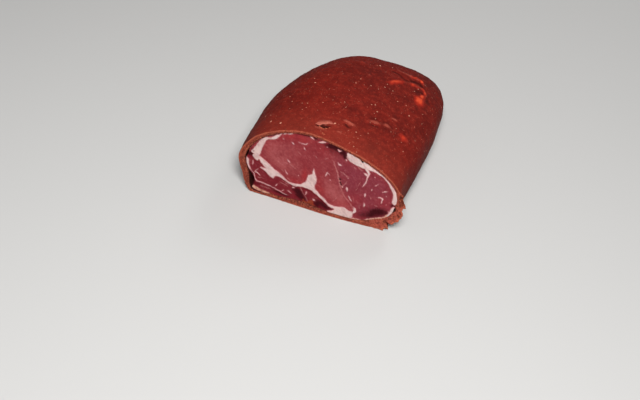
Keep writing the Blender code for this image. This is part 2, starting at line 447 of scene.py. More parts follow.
# %% Lumps and ridges, seen from above
LUMPS = [
    (-9, 32, 6.5, 2.8, 12, -2.0), (-2, 41, 8.0, 3.0, 25, 1.0), (13.5, 47.6, 6.6, 2.6, -4, 2.6),
    (8, 30.3, 3.0, 2.2, 10, 1.1), (36, 67, 7.5, 2.6, 20, 0.9), (49, 70, 7.0, 2.6, -25, 0.9),
    (52, 86, 4.5, 2.2, 10, 0.7), (67, 70, 5.0, 4.0, 0, 1.1), (38, 149, 8.0, 3.6, 50, 1.5),
    (55, 161, 5.0, 3.0, 15, 1.2), (69, 138, 6.0, 4.6, 100, 1.8), (61, 152, 6.0, 5.0, 30, -0.7),
    (69, 148, 2.4, 1.9, 110, 1.0), (-4, 162, 6.0, 4.0, 0, 1.0), (20, 90, 12, 5, 60, 0.6),
    (-30, 70, 12, 6, 20, 0.5), (58, 110, 10, 5, 80, 0.6), (10, 138, 14, 6, -20, 0.6),
]
RIDGES = [
    (0.9, 1.2, [(29, 63.5), (33.7, 65.1), (41, 67.6)]),
    (-0.7, 1.4, [(31, 61), (36, 62.3), (43, 64.8)]),
    (0.9, 1.2, [(43.5, 69.6), (51, 71)]),
    (-0.8, 1.4, [(45, 67.2), (51, 68), (55, 65.5)]),
    (0.8, 1.1, [(48.5, 84.7), (56.5, 85.8)]),
    (-0.6, 1.2, [(50, 82.2), (58, 82.6)]),
    (1.9, 1.5, [(46, 173.6), (53, 176.7), (57.4, 178.7), (61, 178.8), (66, 172.6)]),
    (-1.6, 2.0, [(50, 166), (57.5, 171.5), (62.5, 171), (66.6, 166)]),
    (1.2, 1.7, [(62.4, 163.6), (67.8, 162), (70.8, 156.6), (72.3, 148)]),
    (-1.1, 2.0, [(26, 169.7), (34.4, 170), (40.9, 166.5), (46.2, 163.9), (53, 164)]),
    (0.9, 2.0, [(31, 178.1), (42.4, 176.4), (49, 174.6)]),
    (-0.8, 2.8, [(75, 154), (78, 142), (78.4, 130)]),
    (0.4, 0.9, [(0, 58), (3.8, 69.5)]),
    (-2.0, 1.6, [(-16, 30), (-11, 31.2), (-5, 32.4)]),
    (-1.1, 1.4, [(-9.4, 29), (-4.6, 31.4)]),
    (-1.3, 1.4, [(8.4, 43.6), (13, 43.2), (17.4, 43.8)]),
]

print(len(LUMPS), "lumps and hollows,", len(RIDGES), "ridges and furrows")

# %% [markdown]
# ## Drawing hills and ridges
#
# A hill is a bell along its length times a bell across it. A ridge needs the distance from each
# point to the nearest stretch of its line, and fades towards both ends of the line, because a ridge
# of paste never stops short.

# %% Hills and ridges
RIDGE_TAPER, RIDGE_END = 4.0, 0.2


def hill(x, y, at_x, at_y, half_length, half_width, turn, height):
    """A soft hill, longest along its turn in degrees."""
    angle = np.radians(turn)
    along = (x - at_x) * np.cos(angle) + (y - at_y) * np.sin(angle)
    across = (y - at_y) * np.cos(angle) - (x - at_x) * np.sin(angle)
    return height * np.exp(-((along / half_length) ** 2) - (across / half_width) ** 2)


def hills(x, y, places):
    return sum(hill(x, y, *place) for place in places)


def to_line(places, line):
    """Distance to each stretch of a line, and how far along it the nearest point is, 0 to 1."""
    start, run = line[:-1, :2], np.diff(line[:, :2], axis=0)
    offset = places[:, None] - start
    share = np.clip((offset * run).sum(2) / (run**2).sum(1), 0, 1)
    near = offset - share[..., None] * run
    return np.hypot(near[..., 0], near[..., 1]), share


def taper(line, share, length, at_end):
    """Rises from at_end to 1 over a length at both ends of a line, at the shares from to_line."""
    lengths = np.hypot(*np.diff(line[:, :2], axis=0).T)
    travelled = np.concatenate([[0], np.cumsum(lengths)[:-1]]) + share * lengths
    from_end = np.minimum(travelled, lengths.sum() - travelled)
    return at_end + (1 - at_end) * smoothstep(0, min(length, lengths.sum() / 2), from_end)


def along_lines(x, y, lines):
    """Height of soft ridges, each with a height, half a width and a line seen from above."""
    places = np.column_stack([x.ravel(), y.ravel()])
    total = np.zeros(len(places))
    for height, half_width, line in lines:
        line = np.array(line, float)
        apart, share = to_line(places, line)
        fading = taper(line, share, RIDGE_TAPER, RIDGE_END)
        total += height * (bell(apart, half_width) * fading).max(1)
    return total.reshape(x.shape)


on_fold = along_lines(np.array([57.4]), np.array([178.7]), RIDGES)[0]
print(f"the fold at the far right stands up by {on_fold:.1f} mm")

# %% [markdown]
# ## Relief of the coat
#
# The relief adds up soft waves from the hands, the lumps and ridges, smears that run from side to
# side, and grit. Lumps and ridges are measured from above, so they fade out down the flanks, and
# all relief fades out towards the flat underside, on which the block lies. The places are pushed
# about a little before the hills are looked up, so that no lump has too clean an outline.

# %% Relief of the coat
RELIEF_WANDER, RELIEF_WANDER_SIZE = 1.0, 6.0
WAVE_HEIGHT, WAVE_LENGTH = 1.1, 38.0
RELIEF_STARTS, RELIEF_FULL = 3.0, 14.0
SEEN_FROM_ABOVE = (35.0, 50.0)
SMEAR_HEIGHT, SMEAR_LENGTH = 0.36, 8.0
SMEAR_STRETCH = np.array([1.8, 1.0, 1.0])
GRIT_HEIGHT, GRIT_SIZE = 0.17, 3.2


def pushed_about(points, amount, size, shifts):
    """Where points lie as seen from above, pushed about by up to an amount."""
    return [points[..., i] + amount * rough(points, size, 2, shifts[i]) for i in (0, 1)]


def coat_relief(rings):
    """Height of the hand-smeared surface over the plain shell."""
    x, y = pushed_about(rings, RELIEF_WANDER, RELIEF_WANDER_SIZE, (12.0, 24.0))
    z = rings[..., 2]
    lumps = (hills(x, y, LUMPS) + along_lines(x, y, RIDGES)) * smoothstep(*SEEN_FROM_ABOVE, z)
    waves = WAVE_HEIGHT * rough(rings, WAVE_LENGTH)
    smears = SMEAR_HEIGHT * rough(rings / SMEAR_STRETCH, SMEAR_LENGTH, 2, 31.0)
    grit = GRIT_HEIGHT * rough(rings, GRIT_SIZE, 2, 77.0)
    upper = smoothstep(RELIEF_STARTS, RELIEF_FULL, z)
    return (waves + lumps) * upper + (smears + grit) * smoothstep(0, RELIEF_FULL, z)


print(f"relief at the highest lump: {coat_relief(np.array([[[13.5, 47.6, 85.0]]])).item():.1f} mm")

# %% [markdown]
# ## The crumbled lip
#
# Where the knife went through, the dry paste broke and left no clean edge. Round most of the cut
# it is grainy and 2 to 5 mm wide, but at the lower right the paste was thick and crumbled into
# flakes that stand out by several millimetres, with a nick near the bottom. The outline is pushed
# out there by a few round lobes of different width, and packed crumbs roughen what is left. The
# paste along the bottom was pressed out forward by the knife.

# %% Crumbled lip: x, z, reach outwards, half width
LIP_LOBES = [
    (84.6, 36.4, 6.0, 4.0), (84.9, 25.6, 5.6, 5.6), (83.2, 17.6, 3.6, 3.8), (75, 4, 1.0, 3.0),
    (83.2, 45.2, 4.2, 3.4), (84.6, 37.4, 0.8, 1.8), (84.8, 34.2, 1.6, 1.6), (85, 31.4, 0.6, 1.2),
    (84.9, 28.6, 0.5, 1.2), (84.3, 22.4, 0.6, 1.6), (82, 12.8, 1.2, 2.0), (80.8, 10.2, 1.4, 1.2),
    (78.6, 7.6, -4.8, 1.25), (76.8, 5.0, 2.0, 1.2), (74.6, 2.8, -0.8, 0.9), (72.6, 0.8, 2.2, 1.3),
]
LIP_SIDE, LIP_TOP = (50.0, 70.0), (46.0, 53.0)
LIP_DEPTH, LIP_FORWARD, CRUMB_FORWARD = 8.0, 0.45, 0.4
BASE_EDGE_FORWARD = 3.0
BASE_EDGE_MIDDLE, BASE_EDGE_HALF_SPAN, BASE_EDGE_HEIGHT = 15.0, 55.0, 6.0
CRUMB_HEIGHT, CRUMB_SIZE, CRUMB_LEVEL = 1.5, 3.4, 0.6
FLAKE_HEIGHT, FLAKE_SIZE, FLAKES_FULL = 0.25, 1.8, 4.0


def lobes(outline, places):
    """Sum of round hills at the points of an outline: place, height and half width of each."""
    x, z = outline.T
    return sum(
        height * bell(np.hypot(x - at_x, z - at_z), half_width)
        for at_x, at_z, height, half_width in places
    )


def lip_share(outline):
    """1 where the coat crumbled, at the lower right of the cut, and 0 elsewhere."""
    return smoothstep(*LIP_SIDE, outline[:, 0]) * (1 - smoothstep(*LIP_TOP, outline[:, 1]))


def crumble(rings, outline, stations):
    """Pushes the coat's front edge out into flakes, and its bottom edge forward."""
    centre = outline.mean(axis=0)
    away = (outline - centre) / np.linalg.norm(outline - centre, axis=1, keepdims=True)
    reach = lobes(outline, LIP_LOBES)
    spread = bell(outline[:, 0] - BASE_EDGE_MIDDLE, BASE_EDGE_HALF_SPAN)
    bow = BASE_EDGE_FORWARD * spread * np.exp(-outline[:, 1] / BASE_EDGE_HEIGHT)
    crumbs = CRUMB_HEIGHT * (lumpy(rings, CRUMB_SIZE) - CRUMB_LEVEL) * lip_share(outline)
    flakes = FLAKE_HEIGHT * rough(rings, FLAKE_SIZE, 2, 19.0)
    crumbs += flakes * smoothstep(0, FLAKES_FULL, outline[:, 1])
    rings = rings.copy()
    for ring, y, rise in zip(rings, stations, crumbs):
        share = max(0.0, 1 - y / LIP_DEPTH) ** 2
        push = share * (reach + rise)
        ring[:, 0] += push * away[:, 0]
        ring[:, 2] = np.maximum(ring[:, 2] + push * away[:, 1], 0)
        ring[:, 1] -= share * (reach * LIP_FORWARD + bow + CRUMB_FORWARD * rise)
    return rings


lip_reach = lobes(spline_at(COAT_OUTLINE, np.arange(0, 16, 0.05)), LIP_LOBES)
print(f"the lip stands out by up to {lip_reach.max():.1f} mm")

# %% [markdown]
# ## Wet, worn and torn spots, with painted highlight and shade
#
# Some places get a number of their own, a mark, that the finish reads later. A few spots at the back are
# still wet and orange, with painted highlights on them, others are worn pale, with a painted highlight
# on the ridges, and some are torn and painted dark as shade. They are hills and ridges again, of colour
# this time, and are looked up in the same way as the lumps.

# %% Spots on the coat, seen from above
# wet orange paste; the small spot at 69, 148 is a painted glint
WET_AND_GLINT_SPOTS = [
    (34, 144.5, 5.5, 3.2, 52, 0.75), (39, 150.3, 6, 3.4, 51, 0.95), (43, 154, 3.5, 2.6, 51, 0.5),
    (55.5, 160.2, 3.8, 2.8, 15, 0.95), (60.5, 161.4, 2, 1.6, 0, 0.7),
    (67.8, 137.4, 7.4, 5.2, 100, 1.4), (69.1, 148.2, 3.0, 2.2, 110, 1.5), (67, 70, 5, 4.4, 0, 0.85),
    (-3.3, 162, 5, 3, 0, 0.55),
]
# painted highlights along the folds at the far right, over wet paste
WET_HIGHLIGHT_LINES = [
    (1.1, 1.5, [(49.5, 175), (53, 176.7), (57.4, 178.7)]),
    (1.7, 1.4, [(57.4, 178.7), (61, 178.8), (64.6, 174)]),
    (0.9, 1.8, [(63.4, 163.6), (67.8, 162), (70.8, 156.6), (72, 151)]),
]
# worn pale spots; on the ridges and lumps the paleness is also a painted highlight
WORN_AND_HIGHLIT_SPOTS = [
    (13, 47.6, 6.0, 2.2, -6, 1.3), (8, 30.4, 2.8, 1.5, 10, 0.9), (34.6, 65.6, 6, 0.9, 22, 0.9),
    (47.6, 70.4, 4, 0.9, 12, 0.9), (52.4, 85.2, 3.4, 0.8, 8, 0.8), (2, 113.6, 3, 1.0, -20, 0.6),
    (-30, 96, 5, 1.6, 30, 0.35), (26, 100, 7, 1.4, 10, 0.35), (-16, 60, 6, 1.4, -30, 0.35),
    (44, 44, 6, 2, 30, 0.35), (22, 128, 5, 1.4, 60, 0.35), (1.8, 64, 5, 0.7, 70, 0.6),
    (-13.6, 87, 3, 0.7, 62, 0.6), (-16.4, 39.6, 4, 0.8, 50, 0.5),
]
TEARS = [
    (-11.4, 31.0, 4.6, 1.7, 12, 1.1), (-7, 29.8, 2.2, 0.9, 30, 0.8), (-5.4, 31.6, 2, 0.8, 60, 0.6),
]
SPOT_WANDER, SPOT_WANDER_SIZE = 1.3, 4.0


def spots(points, places, lines=()):
    """How strongly each point lies in soft spots and lines seen from above, whose edges wander."""
    x, y = pushed_about(points, SPOT_WANDER, SPOT_WANDER_SIZE, (61.0, 83.0))
    total = hills(x, y, places) + along_lines(x, y, lines)
    return total * smoothstep(*SEEN_FROM_ABOVE, points[:, 2])


print(len(WET_AND_GLINT_SPOTS) + len(WET_HIGHLIGHT_LINES), "wet,", len(WORN_AND_HIGHLIT_SPOTS), "worn and", len(TEARS), "torn spots")

# %% [markdown]
# ## Outlines of the coat
#
# The coat's mesh needs its points where something happens. Round each ring they crowd together at
# the crumbled lip and above the torn spot, and the rings stand close together at the cut, at the
# tear and at the rounded far end, where the form changes fastest. Inner and outer edge use the same
# places, so that the rim joins point to point. A small pit is pressed into the inner one at the lip.

# %% Points round the coat, and distances of its rings from the cut
COAT_POINTS = 540
LIP_CROWDING, TEAR_CROWDING = 1.5, 0.8
TEAR_AT, TEAR_HALF_WIDTH, TEAR_ABOVE = -8.0, 16.0, 60.0
INNER_PIT = (81.0, 25.8, 2.4, 3.3)
OUTER_RINGS, FRONT_CROWDING = 138, 1.3
TORN_RINGS = np.arange(25.3, 43, 1.1)
INNER_STATIONS = [0.6, 1.4, 2.4, 3.8, 5.6, 9, 16, 28, 45, 70, 100, 130, 158, 182, 200, 211, 216]


def crowd_coat(outline):
    over_tear = bell(outline[:, 0] - TEAR_AT, TEAR_HALF_WIDTH) * (outline[:, 1] > TEAR_ABOVE)
    return 1 + LIP_CROWDING * lip_share(outline) + TEAR_CROWDING * over_tear


coat_places = even_places(COAT_OUTLINE, 0, len(COAT_OUTLINE), COAT_POINTS, crowd_coat)
outer_edge = spline_at(COAT_OUTLINE, coat_places)
outer_edge[:, 1] = np.maximum(outer_edge[:, 1], 0)
inner_edge = spline_at(MEAT_OUTLINE, coat_places)
inner_edge[:, 0] += lobes(inner_edge, [INNER_PIT])

ring_shares = (np.arange(OUTER_RINGS) / OUTER_RINGS) ** FRONT_CROWDING
outer_stations = np.sort(np.append(BLOCK_LENGTH * np.sin(ring_shares * np.pi / 2), TORN_RINGS))
steps = np.linalg.norm(np.diff(outer_edge, axis=0), axis=1)
print(f"points stand {steps.min():.2f} to {steps.max():.2f} mm apart round the coat")

# %% [markdown]
# ## Outside and inside of the coat
#
# The outside is the plain shell, raised by its relief along its own normals and then crumbled at the
# lip. The inside can be seen only down the cracks beside the beef, so few rings are enough for it.
# A crest, which is a place that stands above the average of its neighbours, rubs off pale on the real
# skin, so how far each point stands out is kept for the finish; the finish also lays a painted highlight
# on the crests and painted shade in the hollows.

# %% Outside and inside
COAT_FAR_WALL = 4.5
CREST_REACH = 4


def crests(relief):
    """How far each point stands above the average of its neighbours, in millimetres."""
    sides = range(-CREST_REACH, CREST_REACH + 1)
    around = sum(np.roll(relief, shift, axis=1) for shift in sides) / len(sides)
    padded = np.pad(around, ((CREST_REACH, CREST_REACH), (0, 0)), "edge")
    near = sum(padded[shift : shift + len(relief)] for shift in range(len(sides)))
    return relief - near / len(sides)


plain = shell(outer_edge, BLOCK_LENGTH, outer_stations)
relief = coat_relief(plain)
outside = crumble(plain + outward(plain) * relief[..., None], outer_edge, outer_stations)
inside = shell(inner_edge, BLOCK_LENGTH - COAT_FAR_WALL, [0.0, *INNER_STATIONS])
print(f"relief of the coat: {relief.min():.1f} to {relief.max():.1f} mm")

# %% [markdown]
# ## The broken rim
#
# The rim joins the outer edge of the cut to the inner one. It bulges a little and is grainy all
# round. On the lip the grain grows into packed crumbs, with a shallow hollow higher up, and the gaps
# between the crumbs are kept as a mark, because they lie in shade.

# %% The broken rim
RIM_RINGS, RIM_BULGE = 12, 0.7
RIM_HOLLOW = (85.2, 40.0, 5.0, 2.6, 96, 1.6)
RIM_ROUGH, RIM_ROUGH_SIZE = 0.35, 1.5
RIM_GRAIN, RIM_GRAIN_SIZE = 0.3, 1.9
OUTER_RAGGED, OUTER_RAGGED_SIZE = 0.25, 1.3
INNER_RAGGED, INNER_RAGGED_SIZE = 0.3, 1.7

across = np.linspace(0, 1, RIM_RINGS + 2)[1:-1, None]
rim = outside[0] + (inside[0] - outside[0]) * across[..., None]
packed = lumpy(rim, CRUMB_SIZE, 5.0) - hill(rim[..., 0], rim[..., 2], *RIM_HOLLOW)
grain = RIM_ROUGH * rough(rim, RIM_ROUGH_SIZE, 2, 11.0)
grain += RIM_GRAIN * (lumpy(rim, RIM_GRAIN_SIZE, 7.0) - CRUMB_LEVEL)
grain += CRUMB_HEIGHT * (packed - CRUMB_LEVEL) * lip_share(outer_edge)
rim[..., 1] -= grain + RIM_BULGE * (1 - (2 * across - 1) ** 4)
outside[0, :, 1] += OUTER_RAGGED * rough(outside[0], OUTER_RAGGED_SIZE, 1, 3.0)
inside[0, :, 1] += INNER_RAGGED * rough(inside[0], INNER_RAGGED_SIZE, 1, 9.0)
print(f"the rim is rough by {grain.std():.2f} mm")

# %% [markdown]
# ## The coat in one piece
#
# The coat is one sleeve: from the far tip forward along the outside, over the broken rim, and back along
# the inside. Its marks say how far a point is across the rim, how far behind the cut, whether it is on
# the inner side or on the lip, and how much painted shade darkens the flanks and the left shoulder. A
# mark that is the same all round a ring is written once and repeated.

# %% The coat
COAT_SHARP_ANGLE = 60
SHADE_HEIGHTS, SHOULDER_AT, SHOULDER_SLOPE = (6, 72), -20, 0.3

coat_rings = np.concatenate([outside[::-1], rim, inside])
coat_tips = [far_tip(BLOCK_LENGTH), far_tip(BLOCK_LENGTH - COAT_FAR_WALL)]
coat_points = np.vstack([coat_rings.reshape(-1, 3), *coat_tips])
coat_table = np.arange(len(coat_points) - 2).reshape(-1, COAT_POINTS)
coat_faces = sleeve_faces(coat_table)
coat_faces += fan_faces(coat_table[0, ::-1], len(coat_points) - 2)
coat_faces += fan_faces(coat_table[-1], len(coat_points) - 1)

ring_marks = [(0, 0, y) for y in outer_stations[::-1]]
ring_marks += [(share, 0, 0) for share in across[:, 0]]
ring_marks += [(1, float(y > 0), y) for y in (0, *INNER_STATIONS)]
ring_marks = np.repeat(ring_marks, COAT_POINTS, axis=0)
over_rim, inner_side, from_cut = np.vstack([ring_marks, np.zeros((2, 3))]).T


def from_number(first, values):
    """A mark that is 0 for all points of the coat but those from a number on."""
    mark = np.zeros(len(coat_points))
    mark[first : first + values.size] = values.ravel()
    return mark


shade_line = coat_points[:, 2] + SHOULDER_SLOPE * np.minimum(coat_points[:, 0] - SHOULDER_AT, 0)
coat_marks = {
    "over_rim": over_rim,
    "inner_side": inner_side,
    "from_cut": from_cut,
    "gaps": from_number(outside[..., 0].size, packed * lip_share(outer_edge)),
    "lip": from_number(0, np.tile(lip_share(outer_edge), len(coat_rings))),
    "wet_and_highlight": spots(coat_points, WET_AND_GLINT_SPOTS, WET_HIGHLIGHT_LINES) * (1 - inner_side),
    "worn_and_highlit": spots(coat_points, WORN_AND_HIGHLIT_SPOTS) * (1 - inner_side),
    "torn": spots(coat_points, TEARS) * (1 - inner_side),
    "crest": from_number(0, crests(relief)[::-1]),
    # painted shade on the lower flanks and the left shoulder
    "shaded": 1 - smoothstep(*SHADE_HEIGHTS, shade_line),
}
coat = make_piece("coat", coat_points, coat_faces, COAT_SHARP_ANGLE, coat_marks)

# %% [markdown]
# ## Finding the coat from above
#
# To lay anything on the coat, a ray is dropped onto it, which gives the place and the normal of the
# surface under any spot seen from above. A search tree of the coat's faces answers many such rays
# quickly.

# %% Rays onto the coat
RAY_FROM = 200.0

coat_tree = bvhtree.BVHTree.FromPolygons(
    [vertex.co for vertex in coat.data.vertices], [face.vertices for face in coat.data.polygons]
)


def on_coat(x, y):
    """The place and normal of the coat under a spot seen from above, in millimetres."""
    place, normal, *_ = coat_tree.ray_cast(Vector(to_scene((x, y, RAY_FROM))), Vector((0, 0, -1)))
    return to_block(place), np.array(normal)


print(f"the block is {on_coat(-17, 20)[0][2]:.0f} mm high behind the cut")

# %% [markdown]
# ## A peeling flap
#
# Just behind the torn spot a thin flap of paste stands up, pale where it has dried from both sides.
# It is a small sheet with a thickness of its own, laid on the coat along its back edge and lifted
# along the front one, because a bump could never throw its shadow.

# %% The flap
FLAP_FROM, FLAP_TO = (-17.2, 30.6), (0.4, 37.6)
FLAP_LONG, FLAP_ACROSS = 36, 12
FLAP_WIDTH, FLAP_FULLNESS = 5.6, 0.7
FLAP_LIFT, FLAP_CURL = 1.3, 1.4
FLAP_THICKNESS, FLAP_CLEARANCE = 0.7, 0.05
FLAP_RAGGED, FLAP_BACK_EVEN, FLAP_BUCKLE = 0.8, 0.6, 0.4
FLAP_WAVES, FLAP_SHIFT = (4.0, 2.0), 4.0
FLAP_SHARP_ANGLE = 50


def make_flap():
    start, run = np.array(FLAP_FROM), np.subtract(FLAP_TO, FLAP_FROM)
    side = np.array([-run[1], run[0]]) / np.hypot(*run)
    u = np.repeat(np.linspace(0, 1, FLAP_LONG), FLAP_ACROSS)
    v = np.tile(np.linspace(0, 1, FLAP_ACROSS), FLAP_LONG)
    belly = np.sin(np.pi * u) ** FLAP_FULLNESS
    waves = np.column_stack([u * FLAP_WAVES[0], v * FLAP_WAVES[1], np.full(len(u), FLAP_SHIFT)])
    wander = rough(waves, 1.0, 3)
    out = FLAP_WIDTH * belly * v + FLAP_RAGGED * wander * (1 - FLAP_BACK_EVEN * v)
    lift = FLAP_LIFT * belly * (1 - v) ** FLAP_CURL + FLAP_BUCKLE * wander * (1 - v)
    places = start + run * u[:, None] + side * out[:, None]
    places, normals = np.transpose([on_coat(x, y) for x, y in places], (1, 0, 2))
    top = places + normals * (lift + FLAP_CLEARANCE)[:, None]
    low = places + normals * (lift - FLAP_THICKNESS)[:, None]
    table = np.arange(len(top)).reshape(FLAP_LONG, FLAP_ACROSS)
    border = grid_border(table)
    faces = grid_faces(table) + grid_faces(table[::-1] + len(top))
    faces += sleeve_faces(np.vstack([border, border + len(top)]))
    marks = {"lifted": np.tile(1 - v, 2)}
    return make_piece("flap", np.vstack([top, low]), faces, FLAP_SHARP_ANGLE, marks)


flap = make_flap()

# %% [markdown]
# ## Many grains in one mesh
#
# Pale grains of fenugreek and bits of garlic skin are stuck all over the coat, and its broken rim is
# a mass of crumbs. Hundreds of separate objects would be slow to handle, so each kind is one mesh:
# a small rounded shape is copied, squeezed and turned for every grain with array sums. The random
# numbers are seeded, so the grains never move between two renders.

# %% Many grains in one mesh
GRAIN_SHARP_ANGLE = 80


def round_shape():
    """Points and faces of a small ball of 80 triangles."""
    ball = bmesh.new()
    bmesh.ops.create_icosphere(ball, subdivisions=2, radius=1.0)
    shape = np.array([vertex.co for vertex in ball.verts])
    faces = np.array([[vertex.index for vertex in face.verts] for face in ball.faces])
    ball.free()
    return shape, faces


def scatter(name, places, normals, sizes, turns, tints, jag, seed):
    """One mesh of many grains: sizes hold length, width and height, and turns are in degrees."""
    random = np.random.default_rng(seed)
    shape, faces = round_shape()
    normals = normals / np.linalg.norm(normals, axis=1, keepdims=True)
    level = np.cross(normals, [0.0, 1.0, 0.001])
    level /= np.linalg.norm(level, axis=1, keepdims=True)
    side = np.cross(normals, level)
    angle = np.radians(turns)[:, None]
    along = level * np.cos(angle) + side * np.sin(angle)
    over = np.cross(normals, along)
    uneven = 1 + jag * random.uniform(-1, 1, (len(places), len(shape), 1))
    local = shape[None] * uneven * (sizes / 2)[:, None]
    points = places[:, None] + sum(
        local[..., i : i + 1] * axis[:, None] for i, axis in enumerate((along, over, normals))
    )
    points[..., 2] = np.maximum(points[..., 2], 0)
    faces = (faces[None] + np.arange(len(places))[:, None, None] * len(shape)).reshape(-1, 3)
    marks = {"tint": np.repeat(tints, len(shape))}
    return make_piece(name, points.reshape(-1, 3), faces.tolist(), GRAIN_SHARP_ANGLE, marks)


def mostly_small(random, count, smallest, extra, power):
    """Random sizes, of which few come near the biggest."""
    return smallest + extra * random.random(count) ** power


print("one grain has", len(round_shape()[1]), "triangles")

# %% [markdown]
# ## Seed grains
#
# Faint fine grains lie all over the coat, and the bigger bright ones that catch the eye are placed
# one by one. Picking a face of the coat at random would crowd the grains where the mesh is fine, so
# each face is weighted by its area.

# %% Seed grains: x, y and size of the bright ones
BRIGHT_GRAINS = [
    (14.5, 171, 1.8), (11.5, 169, 1.3), (27, 179, 1.2), (4, 124, 1.2), (1.5, 112.5, 1.5),
    (10, 115.5, 1.2), (16.5, 120, 1.2), (25, 120, 1.5), (30, 129.5, 1.3), (31, 137, 1.1),
    (39, 130, 1.5), (48, 116, 1.3), (57.5, 117, 1.3), (29, 91.5, 1.6), (25.5, 89, 1.4),
    (33.5, 83, 1.5), (64, 105, 1.7), (83, 142, 1.2), (59.5, 150.5, 1.2), (62, 158, 1.0),
    (78.5, 108.5, 1.0), (34.5, 72.5, 1.1), (57, 75, 1.0), (53.5, 66.5, 1.1), (33.5, 48, 1.4),
    (22.5, 41.5, 1.3), (86, 102.5, 1.1), (79, 175, 1.0), (-20, 64.5, 1.3), (0, 75.5, 1.3),
    (3.5, 68.5, 1.2), (-33.5, 51.5, 1.2), (-5.5, 52, 1.1), (0.5, 39, 1.9), (26, 21, 1.0),
    (30.5, 15.5, 1.1), (66.5, 63, 1.2), (71, 54, 1.1), (-63, 31, 1.5), (-51.5, 26, 1.8),
    (-42, 108, 1.3), (-38.5, 99, 1.5), (-51.5, 62, 1.2), (-34.5, 59, 1.0), (-40, 58.5, 1.0),
    (-57, 72, 1.1), (-73, 45, 1.0), (-50, 49.5, 0.9), (-36.5, 48, 1.0), (-21.5, 50.5, 0.9),
]
BRIGHT_SIZE, BRIGHT_TINTS = 0.82, (0.3, 1)
FINE_GRAINS, FINE_SIZES, FINE_TINTS = 820, (0.3, 0.6, 3), (0, 0.6)
SLIMMEST_GRAIN, FULLEST_GRAIN = (1.0, 0.8, 0.45), (1.6, 1.0, 0.6)
GRAIN_JAG, GRAIN_SEED = 0.2, 21
ABOVE_FLOOR = (2, 8)


def surface_places(count, random):
    """Random places on the outside of the coat, evenly spread over its area."""
    area, centre, normal = (
        read(coat.data.polygons, name, width)
        for name, width in (("area", 1), ("center", 3), ("normal", 3))
    )
    centre = to_block(centre)
    on_outside = np.arange(len(area)) < (len(outside) - 1) * COAT_POINTS
    weight = area[:, 0] * on_outside * smoothstep(*ABOVE_FLOOR, centre[:, 2])
    chosen = random.choice(len(area), count, p=weight / weight.sum())
    return centre[chosen], normal[chosen]


def make_grains():
    random = np.random.default_rng(GRAIN_SEED)
    places, normals = surface_places(FINE_GRAINS, random)
    bright = [on_coat(x, y) for x, y, _ in BRIGHT_GRAINS]
    places = np.vstack([places, [place for place, _ in bright]])
    normals = np.vstack([normals, [normal for _, normal in bright]])
    fine = mostly_small(random, FINE_GRAINS, *FINE_SIZES)
    size = np.append(fine, [BRIGHT_SIZE * size for *_, size in BRIGHT_GRAINS])
    fine_tints = random.uniform(*FINE_TINTS, FINE_GRAINS)
    tints = np.append(fine_tints, random.uniform(*BRIGHT_TINTS, len(bright)))
    sizes = size[:, None] * random.uniform(SLIMMEST_GRAIN, FULLEST_GRAIN, (len(size), 3))
    turns = random.uniform(0, 360, len(size))
    seed = GRAIN_SEED + 1
    return scatter("seed_grains", places, normals, sizes, turns, tints, GRAIN_JAG, seed)


grains = make_grains()

# %% [markdown]
# ## Chaff
#
# Chaff is what is left of the husks of the spices: short thin straws that lie flat on the paste, at
# any turn. They are the same round shape, drawn out to many times its width.

# %% Chaff
CHAFF, CHAFF_JAG, CHAFF_SEED = 120, 0.1, 31
CHAFF_LENGTHS, CHAFF_WIDTHS, CHAFF_HEIGHT = (1.2, 3.4), (0.22, 0.42), 0.22
CHAFF_RAISED = 0.05


def make_chaff():
    random = np.random.default_rng(CHAFF_SEED)
    places, normals = surface_places(CHAFF, random)
    lengths = random.uniform(*CHAFF_LENGTHS, CHAFF)
    widths = random.uniform(*CHAFF_WIDTHS, CHAFF)
    sizes = np.column_stack([lengths, widths, np.full(CHAFF, CHAFF_HEIGHT)])
    turns, tints = random.uniform(0, 360, CHAFF), random.uniform(0, 1, CHAFF)
    places = places + normals * CHAFF_RAISED
    return scatter("chaff", places, normals, sizes, turns, tints, CHAFF_JAG, CHAFF_SEED + 1)


chaff = make_chaff()

# %% [markdown]
# ## Crumbs
#
# Crumbs cling to the broken rim, bigger ones to the lip, and a few long ones lie by the tear. The
# first two sit on points of the rim's own mesh, which already has their places and normals, and the
# lip's share of each point decides which kind may land there.

# %% Crumbs: x, y, length and turn of the long ones
LONG_CRUMBS = [
    (-10.6, 26.8, 3.4, -8), (-7.6, 26.2, 2.2, 10), (-6.4, 29.6, 2.6, -40), (-5.2, 28.2, 1.6, 30),
    (-12.4, 28.2, 1.8, -30), (-5.4, 19.6, 3.0, 10), (-6.8, 20.6, 1.6, 60), (-2.6, 31.2, 1.4, 20),
]
LONG_WIDTH, LONG_HEIGHT, LONG_RAISED, LONG_TINT = 0.9, 0.8, 0.2, 0.9
RIM_CRUMBS, RIM_CRUMB_SIZES = 560, (0.3, 0.6, 2)
LIP_CRUMBS, LIP_CRUMB_SIZES = 120, (0.4, 0.9, 2)
SLIMMEST_CRUMB, FULLEST_CRUMB = (0.9, 0.6, 0.4), (1.8, 1.1, 0.8)
RIM_SHARE = 1.1
CRUMB_JAG, CRUMB_SEED = 0.35, 41


